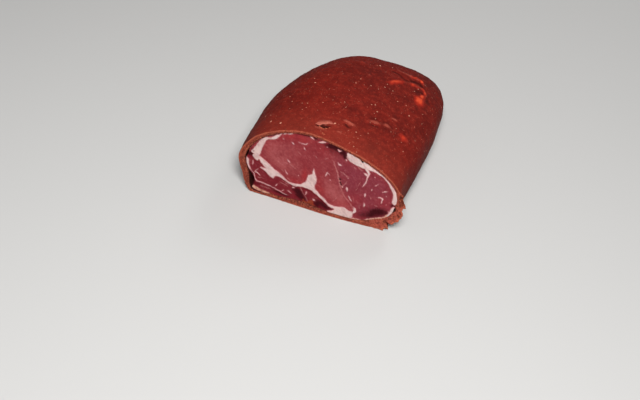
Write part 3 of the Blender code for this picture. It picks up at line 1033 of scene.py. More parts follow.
def make_crumbs():
    random = np.random.default_rng(CRUMB_SEED)
    on_rim = slice((len(outside) - 1) * COAT_POINTS, (len(outside) + RIM_RINGS) * COAT_POINTS)
    rim_places = to_block(read(coat.data.vertices, "co", 3)[on_rim])
    rim_normals = read(coat.data.vertices, "normal", 3)[on_rim]
    lip = lip_share(rim_places[:, [0, 2]])
    beside_lip = RIM_SHARE - lip
    fine = random.choice(len(lip), RIM_CRUMBS, p=beside_lip / beside_lip.sum())
    coarse = random.choice(len(lip), LIP_CRUMBS, p=lip / lip.sum())
    chosen = np.append(fine, coarse)
    fine_size = mostly_small(random, RIM_CRUMBS, *RIM_CRUMB_SIZES)
    size = np.append(fine_size, mostly_small(random, LIP_CRUMBS, *LIP_CRUMB_SIZES))
    sizes = size[:, None] * random.uniform(SLIMMEST_CRUMB, FULLEST_CRUMB, (len(size), 3))
    by_tear = [on_coat(x, y) for x, y, *_ in LONG_CRUMBS]
    long_places = [place + normal * LONG_RAISED for place, normal in by_tear]
    places = np.vstack([rim_places[chosen], long_places])
    normals = np.vstack([rim_normals[chosen], [normal for _, normal in by_tear]])
    long_sizes = [(length, LONG_WIDTH, LONG_HEIGHT) for _, _, length, _ in LONG_CRUMBS]
    sizes = np.vstack([sizes, long_sizes])
    turns = np.append(random.uniform(0, 360, len(size)), [turn for *_, turn in LONG_CRUMBS])
    tints = np.append(random.uniform(0, 1, len(size)), np.full(len(by_tear), LONG_TINT))
    return scatter("rim_crumbs", places, normals, sizes, turns, tints, CRUMB_JAG, CRUMB_SEED + 1)


crumbs = make_crumbs()

# %% [markdown]
# ## The gap beside the beef
#
# The beef fills the coat, but as it dried it shrank away from it in a few places and left a crack:
# wide and dark at the lower left, narrow elsewhere. So its outline on the cut is the coat's inner
# one, moved inwards by a gap that differs from point to point. It is divided into four sides, left,
# top, right and bottom, for the patch that the next step lays over the face.

# %% The gap beside the beef
ROWS, COLUMNS = 132, 280
SIDE_KEYS = [(0, 3, ROWS), (3, 7, COLUMNS), (7, 11, ROWS), (11, 16, COLUMNS)]
AIR_GAP = 0.3
CRACKS = [
    (-70.5, 13.5, 6.4, 7.6), (79.6, 27.6, 1.0, 2.6), (-79, 43, 2.2, 4.0), (-55, 72.6, 1.5, 4.0),
]
LOW_EDGE = (8.0, 24.0)
EDGE_ROUNDING_LOW, EDGE_ROUNDING_HIGH = 0.5, 0.6
SOFTENING_ROUNDS = 12


def inset(outline, distance):
    """The closed outline moved inwards by a distance, which may differ from point to point."""
    tangent = np.roll(outline, -1, axis=0) - np.roll(outline, 1, axis=0)
    tangent /= np.linalg.norm(tangent, axis=1, keepdims=True)
    inward = np.stack([tangent[:, 1], -tangent[:, 0]], 1)
    return outline + inward * np.broadcast_to(distance, len(outline))[:, None]


def soften(outline):
    """Takes the kinks out of a closed outline."""
    for _ in range(SOFTENING_ROUNDS):
        outline = (np.roll(outline, 1, axis=0) + 2 * outline + np.roll(outline, -1, axis=0)) / 4
    return outline


meat_places = np.concatenate(
    [even_places(MEAT_OUTLINE, start, end, count) for start, end, count in SIDE_KEYS]
)
meat_side = spline_at(MEAT_OUTLINE, meat_places)
high_edge = smoothstep(*LOW_EDGE, meat_side[:, 1])
front_gap = AIR_GAP * high_edge + lobes(meat_side, CRACKS)
edge_rounding = EDGE_ROUNDING_LOW + (EDGE_ROUNDING_HIGH - EDGE_ROUNDING_LOW) * high_edge
print(f"the gap beside the beef is {front_gap.min():.1f} to {front_gap.max():.1f} mm wide")

# %% [markdown]
# ## The cut beef: a grid over the face
#
# The cut is what everybody looks at, so it gets the finest mesh, with a point about every half
# millimetre. A patch that blends the four sides fills the outline with rows and columns, like cloth
# stretched in a frame. Letting each point drift to the middle of its neighbours a number of times
# evens the rows out. A fan of triangles would be quicker, but it crowds its points in the middle
# and leaves none for the pattern near the edge.

# %% A patch with four sides
EVENING_ROUNDS = 150


def patch(loop):
    """Rows and columns of points that fill a loop, which starts at the lower left and runs up."""
    left = loop[: ROWS + 1]
    top = loop[ROWS : ROWS + COLUMNS + 1]
    right = loop[ROWS + COLUMNS : 2 * ROWS + COLUMNS + 1][::-1]
    bottom = np.vstack([loop[2 * ROWS + COLUMNS :], loop[:1]])[::-1]
    up = np.linspace(0, 1, ROWS + 1)[:, None, None]
    over = np.linspace(0, 1, COLUMNS + 1)[None, :, None]
    between = (1 - up) * bottom[None] + up * top[None]
    between = between + (1 - over) * left[:, None] + over * right[:, None]
    corners = (1 - up) * ((1 - over) * bottom[0] + over * bottom[-1]) + up * (
        (1 - over) * top[0] + over * top[-1]
    )
    grid = between - corners
    for _ in range(EVENING_ROUNDS):
        around = grid[:-2, 1:-1] + grid[2:, 1:-1] + grid[1:-1, :-2] + grid[1:-1, 2:]
        grid[1:-1, 1:-1] = around / 4
    return grid


flat_face = patch(soften(inset(meat_side, front_gap + edge_rounding))).reshape(-1, 2)
face_table = np.arange(len(flat_face)).reshape(ROWS + 1, COLUMNS + 1)
print("points on the cut face:", len(flat_face))

# %% [markdown]
# ## Fat between the muscles
#
# Several muscles meet in this cut, and white fat fills the seams between them. Painting that as a
# picture would need an image file. Here each seam is an outline of a few points on the cut, with a
# smooth curve through them. The points count millimetres along the bottom of the cut, from its left
# corner, and up.

# %% Seams of fat, in millimetres
FACE_LEFT = -69.0

FAT_SEAMS = {
    "left band": [
        (-5.5, 46), (-2.5, 52), (0, 58), (3, 63), (7, 67), (12, 68), (17, 71.3), (20.5, 74),
        (23.5, 76.3), (21.5, 71.8), (18, 68.2), (13, 66), (9.8, 64.8), (7.8, 61), (6, 55), (5, 48.5),
        (3.4, 44.5), (0, 44.5),
    ],
    "main seam": [
        (-3.4, 42.6), (-1.5, 45), (3, 44.8), (7, 42.8), (12, 40), (17, 36.8), (22, 33.3), (28, 30.6),
        (33, 27.5), (37, 24.6), (42, 23.6), (46, 23.9), (46.5, 20.6), (42, 20.9), (38, 22.2), (34, 24),
        (30, 26), (26, 26.6), (23, 25.6), (21.8, 22.8), (20.6, 22.4), (17, 24), (13.5, 27.2), (9, 29.6),
        (6, 30.6), (8, 31.8), (12.5, 31.8), (10, 33.5), (6.2, 37), (3.4, 39.6), (2.4, 37.6), (0.2, 38.6),
    ],
    "pillar": [
        (45, 23.8), (50, 25.4), (53.6, 28.4), (55.6, 33), (56.6, 38), (60, 40.8), (60.3, 44), (61, 47.8),
        (62.2, 45), (64, 41.6), (66, 38.2), (66.3, 33), (65.2, 28.6), (66.4, 24.6), (70, 20.8),
        (74.4, 18.2), (78, 16.4), (80.4, 13.2), (84.4, 11), (88.8, 7.6), (83.4, 8.4), (78.8, 11.5),
        (75, 14.2), (70, 16.8), (66, 19.2), (62, 21.8), (57, 22.4), (50.5, 22.4), (46, 20.8),
    ],
    "bottom fat": [
        (80.6, 12.6), (85, 11.4), (91, 11.2), (96, 13), (100, 12.6), (103.6, 10.6), (107.6, 10.6),
        (108.8, 7.6), (108.4, 4), (106.4, 1), (99, -1), (92.5, -1), (86.3, 0.6), (82.4, 3),
        (86.4, 4.8), (88.6, 6.7), (85.4, 8.6),
    ],
    "right cap": [
        (91, 75.6), (95.5, 75.4), (100.4, 74.4), (105, 73), (110, 71.6), (115, 69.3), (120, 66.3),
        (126, 63.4), (131, 61), (136, 58), (140.6, 54), (144, 50.2), (147, 46.6), (149.4, 43.6),
        (150.2, 39), (150, 34.5), (148.2, 31.8), (145.2, 33.6), (144.6, 37), (144.5, 40.5),
        (143, 45), (140.8, 49.4), (138, 53.2), (134, 57.4), (129, 60.4), (124.6, 62), (119.4, 63.2),
        (113, 63.2), (107.5, 63.9), (102, 64.8), (97, 66), (93, 68.2), (91, 71.8),
    ],
    "right foot": [
        (149.8, 28.8), (147.6, 29.6), (145.6, 27), (144.6, 23.6), (143.4, 20.4), (142.4, 17.6),
        (142, 15.4), (145, 15.6), (147.4, 18.4), (149.4, 22), (150.6, 25.6),
    ],
    "far left": [
        (-10.8, 39.6), (-8.8, 38.7), (-6.8, 36.4), (-5.8, 33), (-4.8, 29), (-3.4, 25.6), (-4.6, 25.6),
        (-6.8, 29.6), (-8.8, 33.6), (-10, 37),
    ],
}

print("seams:", ", ".join(FAT_SEAMS))

# %% [markdown]
# ## Streaks and sinews
#
# Marbling runs through the muscles in short streaks, and tough pale sinews part their bundles. Each
# is a line on the cut with a width at each of its points, which count as those of the seams do. They
# are drawn one by one, because a noise makes marbling that looks like marble, and not like beef.

# %% Streaks: x, z and width at each point, in millimetres
STREAKS = [
    [
        (-4, 26, 1.1), (-1.2, 23.2, 0.9), (0.6, 22.2, 1.0), (1.5, 20, 0.9), (3, 16, 1.1),
        (4.6, 13.8, 1.3), (9, 14.1, 1.1), (15, 13.4, 1.2), (20, 12.3, 1.0), (26, 10.8, 1.1),
        (31, 9.4, 1.2), (34, 7.9, 1.2), (39, 7.6, 0.8),
    ],
    [(25, 75.7, 1.6), (28, 77.2, 1.2)],
    [(29.4, 77.4, 1.5), (33, 78.6, 1.3), (35.2, 80.2, 1.1)],
    [(51, 82.3, 1.2), (53, 81, 1.8), (55.8, 79.8, 1.0)],
    [(61, 78.2, 1.4), (64, 79, 2.6), (67.5, 79.9, 2.2), (69.5, 80.4, 0.8)],
    [(81.4, 75.6, 1.2), (83, 74.8, 1.8), (85, 75.3, 0.8)],
    [(1, 24.4, 0.9), (3, 26.8, 0.8), (4.6, 28.4, 0.6)],
    [(1, 24.4, 1.3), (4, 23.9, 1.1), (6, 22.6, 1.2), (7.6, 21.2, 1.3)],
    [(-2.6, 36.8, 0.9), (-2, 34, 1.1), (-2.1, 31.6, 0.7)],
    [(24.8, 14.4, 1.3), (26.6, 17.4, 0.9)],
    [(31, 9.8, 0.8), (34, 12.6, 0.9)],
    [(38.4, 13.2, 1.2), (40.5, 12.4, 1.0), (42.6, 11.4, 1.2)],
    [(42.4, 18, 1.3), (44.8, 18.4, 1.0)],
    [(57, 14.4, 1.4), (58, 18.6, 0.9)],
    [(65, 11.8, 1.6), (66.8, 10.8, 2.2), (68.4, 9.8, 1.2)],
    [(108.2, 8.6, 2.4), (110.4, 12, 2.6), (110, 14.6, 2.8), (108.4, 16.4, 1.6)],
    [
        (112, 64.2, 3.2), (114.6, 62, 3.0), (116.2, 59.6, 2.6), (116, 56.8, 2.2), (115.4, 54.4, 1.4),
        (115.6, 51.4, 1.2), (115.2, 48.6, 1.5), (114, 45, 1.6), (112.8, 42.8, 0.6),
    ],
    [(111.2, 58.2, 1.2), (113.4, 57.8, 2.4), (115.6, 56.6, 2.6)],
    [(34.8, 69.8, 1.8), (37.6, 68.2, 2.0)],
    [(33.4, 48.8, 2.0), (36.4, 46.2, 1.3)],
    [(41, 72.6, 0.5), (45, 71.5, 0.8), (49, 71.8, 1.0), (50.6, 73.6, 1.9)],
    [(47.8, 67.8, 1.7), (49.4, 65.6, 1.3)],
    [(47, 34.8, 1.0), (47.2, 34.4, 0.8)],
    [(32, 36.6, 0.7), (34, 34, 1.1), (35.8, 32.4, 1.0)],
    [(25, 72, 1.5), (26.4, 71, 1.2)],
    [(70.4, 75.4, 1.6), (70.9, 75.2, 1.2)],
    [(75.6, 48.2, 1.5), (75, 45, 1.7), (74, 42, 1.0)],
    [(75.6, 47.8, 1.0), (78, 45.4, 0.7)],
    [(79.4, 39.6, 1.8), (79.8, 40.4, 1.4)],
    [(83.6, 62.2, 0.7), (85, 60.2, 1.6), (88.2, 60.2, 1.5)],
    [(91.2, 67.4, 2.1), (92, 67, 1.6)],
    [(97, 48.2, 1.3), (96.8, 47.4, 1.0)],
    [(92.6, 36.4, 2.2), (93, 35.4, 1.6)],
    [(97, 37.4, 1.4), (97.6, 35, 2.1), (98.6, 32.2, 1.4)],
    [(101, 27.6, 1.2), (103, 25, 1.3), (105.2, 22.4, 1.0)],
    [(117, 36.2, 1.4), (117, 32, 1.6)],
    [(117.6, 25.2, 1.3), (118.4, 22.6, 1.9), (118.2, 20.4, 1.3)],
    [(122.4, 43.2, 1.4), (122.5, 41, 1.7)],
    [(124.4, 47.4, 1.3), (127.2, 50.2, 1.2)],
    [(133.6, 43.2, 1.2), (138.2, 45.6, 1.3)],
    [(138, 39.6, 1.5), (138.2, 39.2, 1.2)],
    [(129.4, 35.2, 1.0), (132.6, 36.4, 1.3), (134.8, 35.6, 1.4), (134.6, 32.6, 1.1), (134.2, 29.6, 1.2)],
    [(123, 57.4, 1.3), (123.6, 57, 1.0)],
    [(139.6, 29.8, 1.0), (139.9, 29.4, 0.8)],
    [(143, 23.2, 0.9), (144, 20, 0.8)],
    [
        (143.6, 20, 1.2), (142.8, 17.6, 1.4), (141, 15.8, 1.5), (138, 13.4, 1.3), (134, 11.2, 1.3),
        (130, 9.2, 2.0), (127, 7.8, 1.3), (123, 5.6, 1.2), (120, 4.0, 1.2), (115, 3.4, 1.2),
        (110, 3.0, 1.2), (106, 2.2, 1.5),
    ],
]

print("streaks:", len(STREAKS))

# %% [markdown]
# Sinews are thinner than the streaks, and get a mark of their own, since they are pink and never
# white. The longest one parts the big eye of the muscle from the muscles on its right.

# %% Sinews: x, z and width at each point, in millimetres
SINEWS = [
    [
        (108.6, 12.4, 0.8), (107, 16, 0.9), (104, 19.4, 0.7), (100, 22.8, 0.8), (96.2, 26.4, 0.7),
        (93, 31, 0.8), (91, 34.8, 1.0), (89.4, 38.6, 1.1), (88.4, 42, 1.2), (87.2, 46, 1.5),
        (85.8, 50, 1.4), (83.8, 54, 1.2), (81.2, 58, 0.9), (79.4, 62, 0.6),
    ],
    [(87.5, 53.4, 0.5), (91, 52.2, 0.7), (94.3, 50.2, 0.8), (96.8, 48.2, 0.6)],
    [(96.4, 45, 0.7), (95.6, 41.6, 0.8), (93.6, 38.2, 0.9), (91.6, 35.4, 0.6)],
    [(50.4, 21.7, 0.7), (52.4, 18.5, 0.8), (54.4, 15.2, 0.7), (58.5, 10.2, 0.8), (62.4, 6, 0.9)],
    [(44, 41, 0.4), (38, 44, 0.4), (30, 45.5, 0.3)],
    [(21, 44.6, 0.4), (25, 43.6, 0.6), (29, 41.8, 0.4)],
    [(60.5, 62, 1.0), (61.8, 61, 0.8)],
    [(63.4, 72.4, 0.9), (64.6, 71.6, 0.7)],
    [(41.4, 62.2, 0.5), (44, 60, 0.6), (46.6, 57.8, 0.4)],
    [(29.2, 36.2, 0.6), (31, 34.4, 0.8)],
    [(35.4, 29, 0.6), (38, 26.8, 0.8), (40.6, 25.4, 0.5)],
    [(70.6, 61.6, 0.6), (73.4, 64, 0.6)],
    [(67, 56.4, 0.7), (68.2, 55.2, 0.5)],
    [(86, 16.4, 0.5), (88.4, 20, 0.6), (89.4, 23.4, 0.4)],
    [(107.6, 40, 0.6), (107.2, 36.6, 0.8)],
    [(99.4, 62.6, 0.5), (101.2, 61.2, 0.8), (103, 60, 0.5)],
    [(104, 64, 0.5), (107, 61.4, 0.6), (110, 60.4, 0.5)],
    [(105, 29, 0.4), (106.6, 25, 0.7), (108, 21.6, 0.4)],
    [(113, 20, 0.5), (114.2, 17, 0.6)],
    [(128.6, 25.6, 0.5), (131, 24.8, 0.7)],
    [(122.8, 33.6, 0.5), (124, 31.4, 0.6)],
    [(109.8, 47, 0.4), (108.6, 44.4, 0.6), (108.2, 42, 0.4)],
    [(5, 18.6, 0.5), (9, 19.4, 0.6), (12, 18.8, 0.4)],
    [(28, 21, 0.6), (33, 19.6, 0.7), (38, 17.4, 0.5)],
    [(9, 9.8, 0.6), (14, 9.4, 0.7), (21, 8.6, 0.5)],
    [(31, 22.8, 0.6), (35, 21.6, 0.7), (40, 19.6, 0.5)],
]

print("sinews:", len(SINEWS))

# %% [markdown]
# ## Depths, not colours
#
# What the mesh stores isn't white or red but a depth: how many millimetres inside the nearest fat a
# point lies, or outside as a negative number. A depth changes evenly from point to point, so the
# finish can draw the edge between two mesh points as sharply as it likes, and can tell the thick
# white seams from thin pink threads.

# %% Depths on the face
RAGGED, RAGGED_SIZE = 0.4, 2.4
WANDER, WANDER_SIZE = 0.55, 8.0
THIN_STREAK, STREAK_TAPER, STREAK_END = 0.92, 1.8, 0.35
OUTSIDE = -20.0
CURVE_STEP = 0.25


def area_depth(places, outline):
    """Millimetres inside a closed outline, negative outside it."""
    line = spline_at(outline, np.arange(0, len(outline), CURVE_STEP))
    line = np.vstack([line, line[:1]])
    depth = to_line(places, line)[0].min(1)
    x, z = places[:, :1], places[:, 1:]
    low, high = line[:-1], line[1:]
    crosses = (low[:, 1] > z) != (high[:, 1] > z)
    rise = np.where(high[:, 1] == low[:, 1], 1, high[:, 1] - low[:, 1])
    at = low[:, 0] + (z - low[:, 1]) / rise * (high[:, 0] - low[:, 0])
    inside_it = ((x < at) & crosses).sum(1) % 2 == 1
    return np.where(inside_it, depth, -depth)


def streak_depth(places, line):
    """Millimetres inside a streak of changing width that tapers at both ends, negative outside."""
    line = np.array(line, float)
    apart, share = to_line(places, line)
    half = THIN_STREAK * (line[:-1, 2] + share * np.diff(line[:, 2])) / 2
    return (half * taper(line, share, STREAK_TAPER, STREAK_END) - apart).max(1)


def deepest(places, outlines, lines):
    depths = [np.full(len(places), OUTSIDE)]
    depths += [area_depth(places, outline) for outline in outlines]
    depths += [streak_depth(places, line) for line in lines]
    return np.max(depths, axis=0)


def in_space(places):
    """Places on the cut as points in space, for the noise."""
    return np.column_stack([places, np.zeros(len(places))])


def wandering(places):
    """The same places, pushed about a little so that no edge on the cut is too clean."""
    points = in_space(places)
    drift = []
    for shift in (100.0, 200.0):
        small = RAGGED * rough(points, RAGGED_SIZE, 1, shift)
        drift.append(small + WANDER * rough(points, WANDER_SIZE, 1, shift + 50))
    return places + np.stack(drift, 1)


in_seam = area_depth(np.array([[28.0, 28.6]]), FAT_SEAMS["main seam"])[0]
print(f"the middle of the main seam lies {in_seam:.1f} mm deep in fat")

# %% [markdown]
# ## Tones of the lean
#
# Lean beef isn't one red. The big eye of the muscle is a dusty pink red with a painted sheen, the
# muscles under the main seam are a deep blood red, the muscle on the right leans to purple, and along
# the bottom and under the top edge it is nearly black, partly where the meat dried most and partly as
# painted shade under the rim and beside the gaps at the edge. Each tone is a mark from 0 to 1: a closed
# outline for a muscle that ends at a seam, and soft hills for tones that come and go.

# %% Tones of the lean: outlines, and hills on the cut
DEEP_MUSCLE = [
    (-11, 40), (-6, 43), (-2, 41.5), (3, 39), (9, 33), (20, 24), (28, 26.4), (38, 22.4), (46, 20.8),
    (57, 22), (66, 19), (76, 13.6), (88.6, 7), (83, 1), (60, 1), (40, 0), (18, 0), (-2, 2),
    (-4, 24),
]
RIGHT_MUSCLE = [
    (80, 64), (86, 70), (93, 67), (112, 63), (130, 59), (142, 46), (146, 36), (147, 22), (130, 10),
    (111, 9), (106, 18), (92, 33), (86, 44), (84, 55),
]
# dried meat, with painted shade under the top edge and beside the gaps at the edge
DRIED_AND_SHADE = [
    (136.5, 20, 8, 4.2, 15, 0.7), (128, 16.4, 10, 5, 25, 0.5), (117, 10, 9, 6, 30, 0.4),
    (126, 11, 10, 4, 20, 0.35), (134, 15, 8, 4, 25, 0.35), (142, 19, 3, 3, 0, 0.3),
    (146.4, 30.4, 3, 2.4, 20, 0.9), (128, 22, 16, 4, 16, 0.2), (76, 77, 9, 2.4, -8, 1.15),
    (86.6, 74.2, 6, 2.4, -24, 1.15), (80, 71, 12, 5, -15, 0.45), (90, 69.8, 1.6, 2.6, 0, 0.7),
    (46, 81.2, 8, 1.7, 0, 0.65), (57, 80.6, 6, 1.4, -12, 0.8), (60, 74, 24, 4, -6, 0.2),
    (-6, 43.4, 4.2, 3, 0, 1.2), (-5, 49, 1.2, 3, 20, 0.8), (-1, 15, 2.2, 7, 10, 1.2),
    (5, 10.4, 5, 2.2, 0, 0.8), (28, 7.6, 6, 2, -8, 0.9), (36, 7, 4.5, 1.8, 0, 0.9),
    (17, 9.6, 6, 1.8, 0, 0.35), (50, 14, 6.5, 5.5, -35, 0.85), (54, 9, 6, 3.4, -10, 0.8),
    (46, 17, 5, 3, -30, 0.4), (74, 9, 8, 5, 0, 0.8), (82, 5.6, 6, 2.6, -10, 0.7),
    (70, 6, 4, 4, 0, 0.5), (60, 20.6, 6, 1.6, -8, 0.5), (66, 17, 5, 2.4, -15, 0.3),
    (24, 21.6, 4, 1.4, 10, 0.3), (43, 19.6, 4, 1.2, -10, 0.3),
]
BLUSH = [
    (52.6, 37, 3, 8, 0, 0.9), (71, 30, 4, 10, 10, 0.6), (76, 22, 8, 4, -30, 0.3),
    (69, 27, 3.5, 7, 0, 0.5), (94, 16, 11, 5, 0, 0.5), (12, 60, 7, 8, 0, 0.2),
    (137, 30, 8, 9, 0, 0.4), (40, 76, 18, 4, 0, 0.7), (24, 70, 8, 4, 20, 0.4),
    (45, 27, 9, 3, -10, 0.7), (108, 26, 9, 8, 0, 0.4), (66, 70, 8, 6, 0, 0.35),
]
# dusty tone, with a painted sheen on the eye of the muscle
DUSTY_AND_SHEEN = [
    (16, 54, 8, 12, 15, 0.8), (32, 60, 14, 9, 0, 0.5), (38, 42, 12, 8, -20, 0.6),
    (26, 44, 8, 6, -30, 0.6), (86, 48, 4, 12, 20, 0.5), (98, 14.6, 8, 3, 0, 0.9),
    (84, 66, 9, 5, -20, 0.45), (70, 58, 8, 7, 0, 0.2), (88, 28, 7, 10, 30, 0.9),
    (77, 32, 7, 9, 0, 0.9), (92, 20, 9, 6, -10, 0.9), (94, 44, 4, 6, 0, 0.6),
    (86, 24, 8, 8, 0, 0.4),
]
TONE_LIMIT = 1.3


def tone(places, soft_spots):
    return np.clip(hills(*places.T, soft_spots), 0, TONE_LIMIT)


tones_in_eye = [tone(np.array([[16.0, 54.0]]), spots_of)[0] for spots_of in (DRIED_AND_SHADE, BLUSH, DUSTY_AND_SHEEN)]
print("dried, blush and dusty in the eye:", [round(float(share), 2) for share in tones_in_eye])

# %% [markdown]
# ## Stains, cream and paste on the cut
#
# Low on the cut some of the fat is yellowish like cream. In places the seams took up colour from the
# lean, and along the bottom edge the knife smeared paste over the beef. A few small holes open beside
# the longest sinew, and a notch runs down into the fat at the top right; both are sunk and painted dark
# as shade.

# %% Stains and holes: hills and lines on the cut
HOLES = [
    (88.8, 42.8, 1.0, 1.4, 20, 1.0), (89.8, 39.3, 0.9, 1.3, 30, 1.0),
    (91.1, 37.1, 0.8, 1.3, 20, 1.0), (86.8, 48.2, 0.5, 1.8, 20, 0.4), (99.2, 36, 0.4, 1.0, 0, 0.3),
]
NOTCH = [
    (102.4, 76.4, 2.8), (104, 74.4, 3.2), (105.8, 72, 3.0), (107.4, 69.6, 2.2), (108.4, 67.8, 1.0),
]
SEAM_STAINS = [
    (1.4, 57, 1.4, 2.6, 15, 0.8), (1, 42.8, 3.4, 2.0, 0, 0.6), (-3, 48.4, 1.3, 1.3, 0, 1.3),
    (60.4, 35, 1.8, 3.4, 0, 0.55), (15.6, 33.4, 3, 1.2, -30, 0.5), (16, 29.6, 2, 0.9, -40, 0.35),
    (148, 37, 1.6, 3, 0, 0.25), (45, 21.6, 2, 1.0, -10, 0.5), (76.6, 16.6, 3, 1.2, -30, 0.45),
    (38, 23.6, 6, 1.5, -20, 0.4), (30, 28, 5, 1.6, -35, 0.25), (112, 65, 3, 1.6, 0, 0.25),
    (61, 24.6, 5, 1.2, 0, 0.25), (20.8, 21.6, 0.8, 1.6, 0, 0.6), (98, 70, 8, 4, -10, 0.4),
    (6, 60, 4, 9, 35, 0.4), (10, 66, 4, 2, 0, 0.3),
]
CREAM = [
    (5.4, 5.0, 4.0, 1.7, -6, 1.3), (11, 4.2, 4, 1.5, -12, 0.9), (17, 3.6, 4.4, 1.4, -4, 1.2),
    (2.0, 6.6, 1.8, 1.5, 30, 0.9), (-1.6, 1.8, 1.2, 2.4, 0, 0.5),
]
CREAM_LINE = [
    (105, 1.8, 0.8), (112, 3.0, 1.1), (120, 3.8, 1.1), (123, 5.6, 1.0), (127, 7.8, 1.1),
    (130, 9.2, 1.8), (134, 11.2, 1.1), (138, 13.4, 1.0), (141, 15.8, 1.1), (143.2, 19.0, 0.9),
]
SMEARED = [
    (64, 6, 3.2, 4.0, 0, 1.3), (58, 4, 5, 2.6, 0, 0.9), (46, 3.0, 9, 2.4, 0, 1.0),
    (30, 2.2, 10, 1.6, 0, 1.0), (56, 8, 2, 1.6, 0, 0.5), (78, 1.6, 6, 1.4, 0, 0.9),
    (68, 2.4, 4, 2, 0, 0.9), (22, 4.4, 3, 1.2, 0, 0.6),
]

print(len(HOLES), "holes,", len(SEAM_STAINS), "stains,", len(CREAM) + 1, "traces of cream")

# %% [markdown]
# ## All marks in one function
#
# The marks are worked out twice, for the face and for the sides behind it, so one function gives
# them all. It looks most of them up in the wandering places, and the holes, which are clean, in the
# true ones. How soft the edge of a muscle is follows from the step that turns its depth into a tone.

# %% Marks of the beef
DEEP_EDGE, RIGHT_EDGE = (-0.8, 1.4), (-4.0, 7.0)
NOTCH_EDGE, CREAM_EDGE = (-0.25, 0.3), (-0.7, 0.4)
SOFT_MARKS = {
    "dried": DRIED_AND_SHADE, "blush": BLUSH, "dusty_and_sheen": DUSTY_AND_SHEEN, "stain": SEAM_STAINS, "smear": SMEARED
}


def face_marks(x, z):
    """All marks of the beef at places given in the block's own millimetres."""
    places = np.column_stack([x - FACE_LEFT, z])
    pushed = wandering(places)
    notch = smoothstep(*NOTCH_EDGE, streak_depth(places, NOTCH))
    cream_line = smoothstep(*CREAM_EDGE, streak_depth(pushed, CREAM_LINE))
    marks = {name: tone(pushed, soft_spots) for name, soft_spots in SOFT_MARKS.items()}
    marks["fat"] = deepest(pushed, FAT_SEAMS.values(), STREAKS)
    marks["sinew"] = deepest(pushed, [], SINEWS)
    marks["deep"] = smoothstep(*DEEP_EDGE, area_depth(pushed, DEEP_MUSCLE))
    marks["purple"] = smoothstep(*RIGHT_EDGE, area_depth(pushed, RIGHT_MUSCLE))
    marks["hole"] = np.clip(tone(places, HOLES) + notch, 0, 1)
    marks["cream"] = tone(pushed, CREAM) + cream_line
    return marks


on_face = face_marks(*flat_face.T)
shares = [f"{name} {(values > 0.1).mean():.0%}" for name, values in on_face.items()]
print("share of the face that has each mark:", ", ".join(shares))

# %% [markdown]
# ## Height of the face
#
# A knife leaves beef nearly flat, but fat stays a little proud where the lean has dried back, the
# driest spots sink, and the holes are open. Those are real heights on the mesh, so that they catch
# the light from any side. Under the top edge the whole face is set back a little.

# %% Height of the face
KNIFE_WAVE, KNIFE_WAVE_SIZE = 0.35, 22.0
FLESH_WAVE, FLESH_SIZE = 0.09, 3.4
SEAM_WAVE, SEAM_WAVE_SIZE = 0.1, 3.2
FAT_PROUD, FAT_EDGE = 0.3, (-0.4, 0.8)
SINEW_PROUD, SINEW_EDGE, CREAM_PROUD = 0.12, (-0.6, 0.3), 0.25
SMEAR_PROUD, SMEAR_EDGE, SMEAR_SIZE = 0.5, (0.3, 0.8), 2.4
DRY_SUNK, DEEP_SUNK, HOLE_DEPTH = 0.5, 0.2, 2.2
TOP_SET_BACK, SET_BACK_WIDTH, SET_BACK_ABOVE = 0.9, 6, (55, 70)


def face_height(places, marks):
    """Millimetres that the face stands out of its plane."""
    points = in_space(places)
    height = KNIFE_WAVE * rough(points, KNIFE_WAVE_SIZE)
    height += FLESH_WAVE * rough(points, FLESH_SIZE, 2, 40.0)
    seam_height = FAT_PROUD + SEAM_WAVE * rough(points, SEAM_WAVE_SIZE, 2, 90.0)
    height += smoothstep(*FAT_EDGE, marks["fat"]) * seam_height
    sinew_height = SINEW_PROUD * smoothstep(*SINEW_EDGE, marks["sinew"])
    height += sinew_height + CREAM_PROUD * np.clip(marks["cream"], 0, 1)
    height += SMEAR_PROUD * smoothstep(*SMEAR_EDGE, marks["smear"]) * lumpy(points, SMEAR_SIZE)
    sunk = DRY_SUNK * np.clip(marks["dried"], 0, 1) + DEEP_SUNK * marks["deep"]
    under_top = smoothstep(SET_BACK_WIDTH, 0, area_depth(places, MEAT_OUTLINE))
    set_back = TOP_SET_BACK * (under_top * smoothstep(*SET_BACK_ABOVE, places[:, 1]))
    height -= sunk * np.clip(1 - marks["fat"], 0, 1) + set_back
    return height - HOLE_DEPTH * marks["hole"]


face_rise = face_height(flat_face, on_face)
print(f"the face stands {face_rise.min():.1f} to {face_rise.max():.1f} mm out of its plane")

# %% [markdown]
# ## Edge and sides of the beef
#
# Round the edge the face turns over in a soft quarter circle, in four rings. Behind it the sides
# run down into the coat: two rings inside the crack, which narrows as it goes in, and then plain
# rings at an even gap from the coat to the far end, where nothing can be seen.

# %% Edge and sides
TURNING = np.radians([25, 50, 75, 90])
SIDE_DEPTHS, CRACK_DEPTH = (3.4, 5.6), 9.0

meat_length = BLOCK_LENGTH - COAT_FAR_WALL - AIR_GAP
edge_rise = face_rise[grid_border(face_table)]
meat_rings = []
for angle in TURNING:
    edge = soften(inset(meat_side, front_gap + edge_rounding * (1 - np.sin(angle))))
    back = edge[:, 1] * LEAN_BACK + edge_rounding * (1 - np.cos(angle)) - edge_rise
    meat_rings.append(np.column_stack([edge[:, 0], back, edge[:, 1]]))
for depth in SIDE_DEPTHS:
    near = 1 - depth / CRACK_DEPTH
    gap = AIR_GAP * (1 - near) + front_gap * near
    meat_rings.extend(shell(soften(inset(meat_side, gap)), meat_length, [depth]))
deep_stations = [station for station in INNER_STATIONS if station >= CRACK_DEPTH]
meat_rings.extend(shell(soften(inset(meat_side, AIR_GAP)), meat_length, deep_stations))
print("rings behind the face of the beef:", len(meat_rings))

# %% [markdown]
# ## The beef in one piece
#
# The border of the face's table is the first loop of a sleeve whose other loops are the rings, so
# the face and the sides share their points and close without a seam. The marks of the sides are
# those of the cut, carried straight back.

# %% The beef
MEAT_SHARP_ANGLE = 70

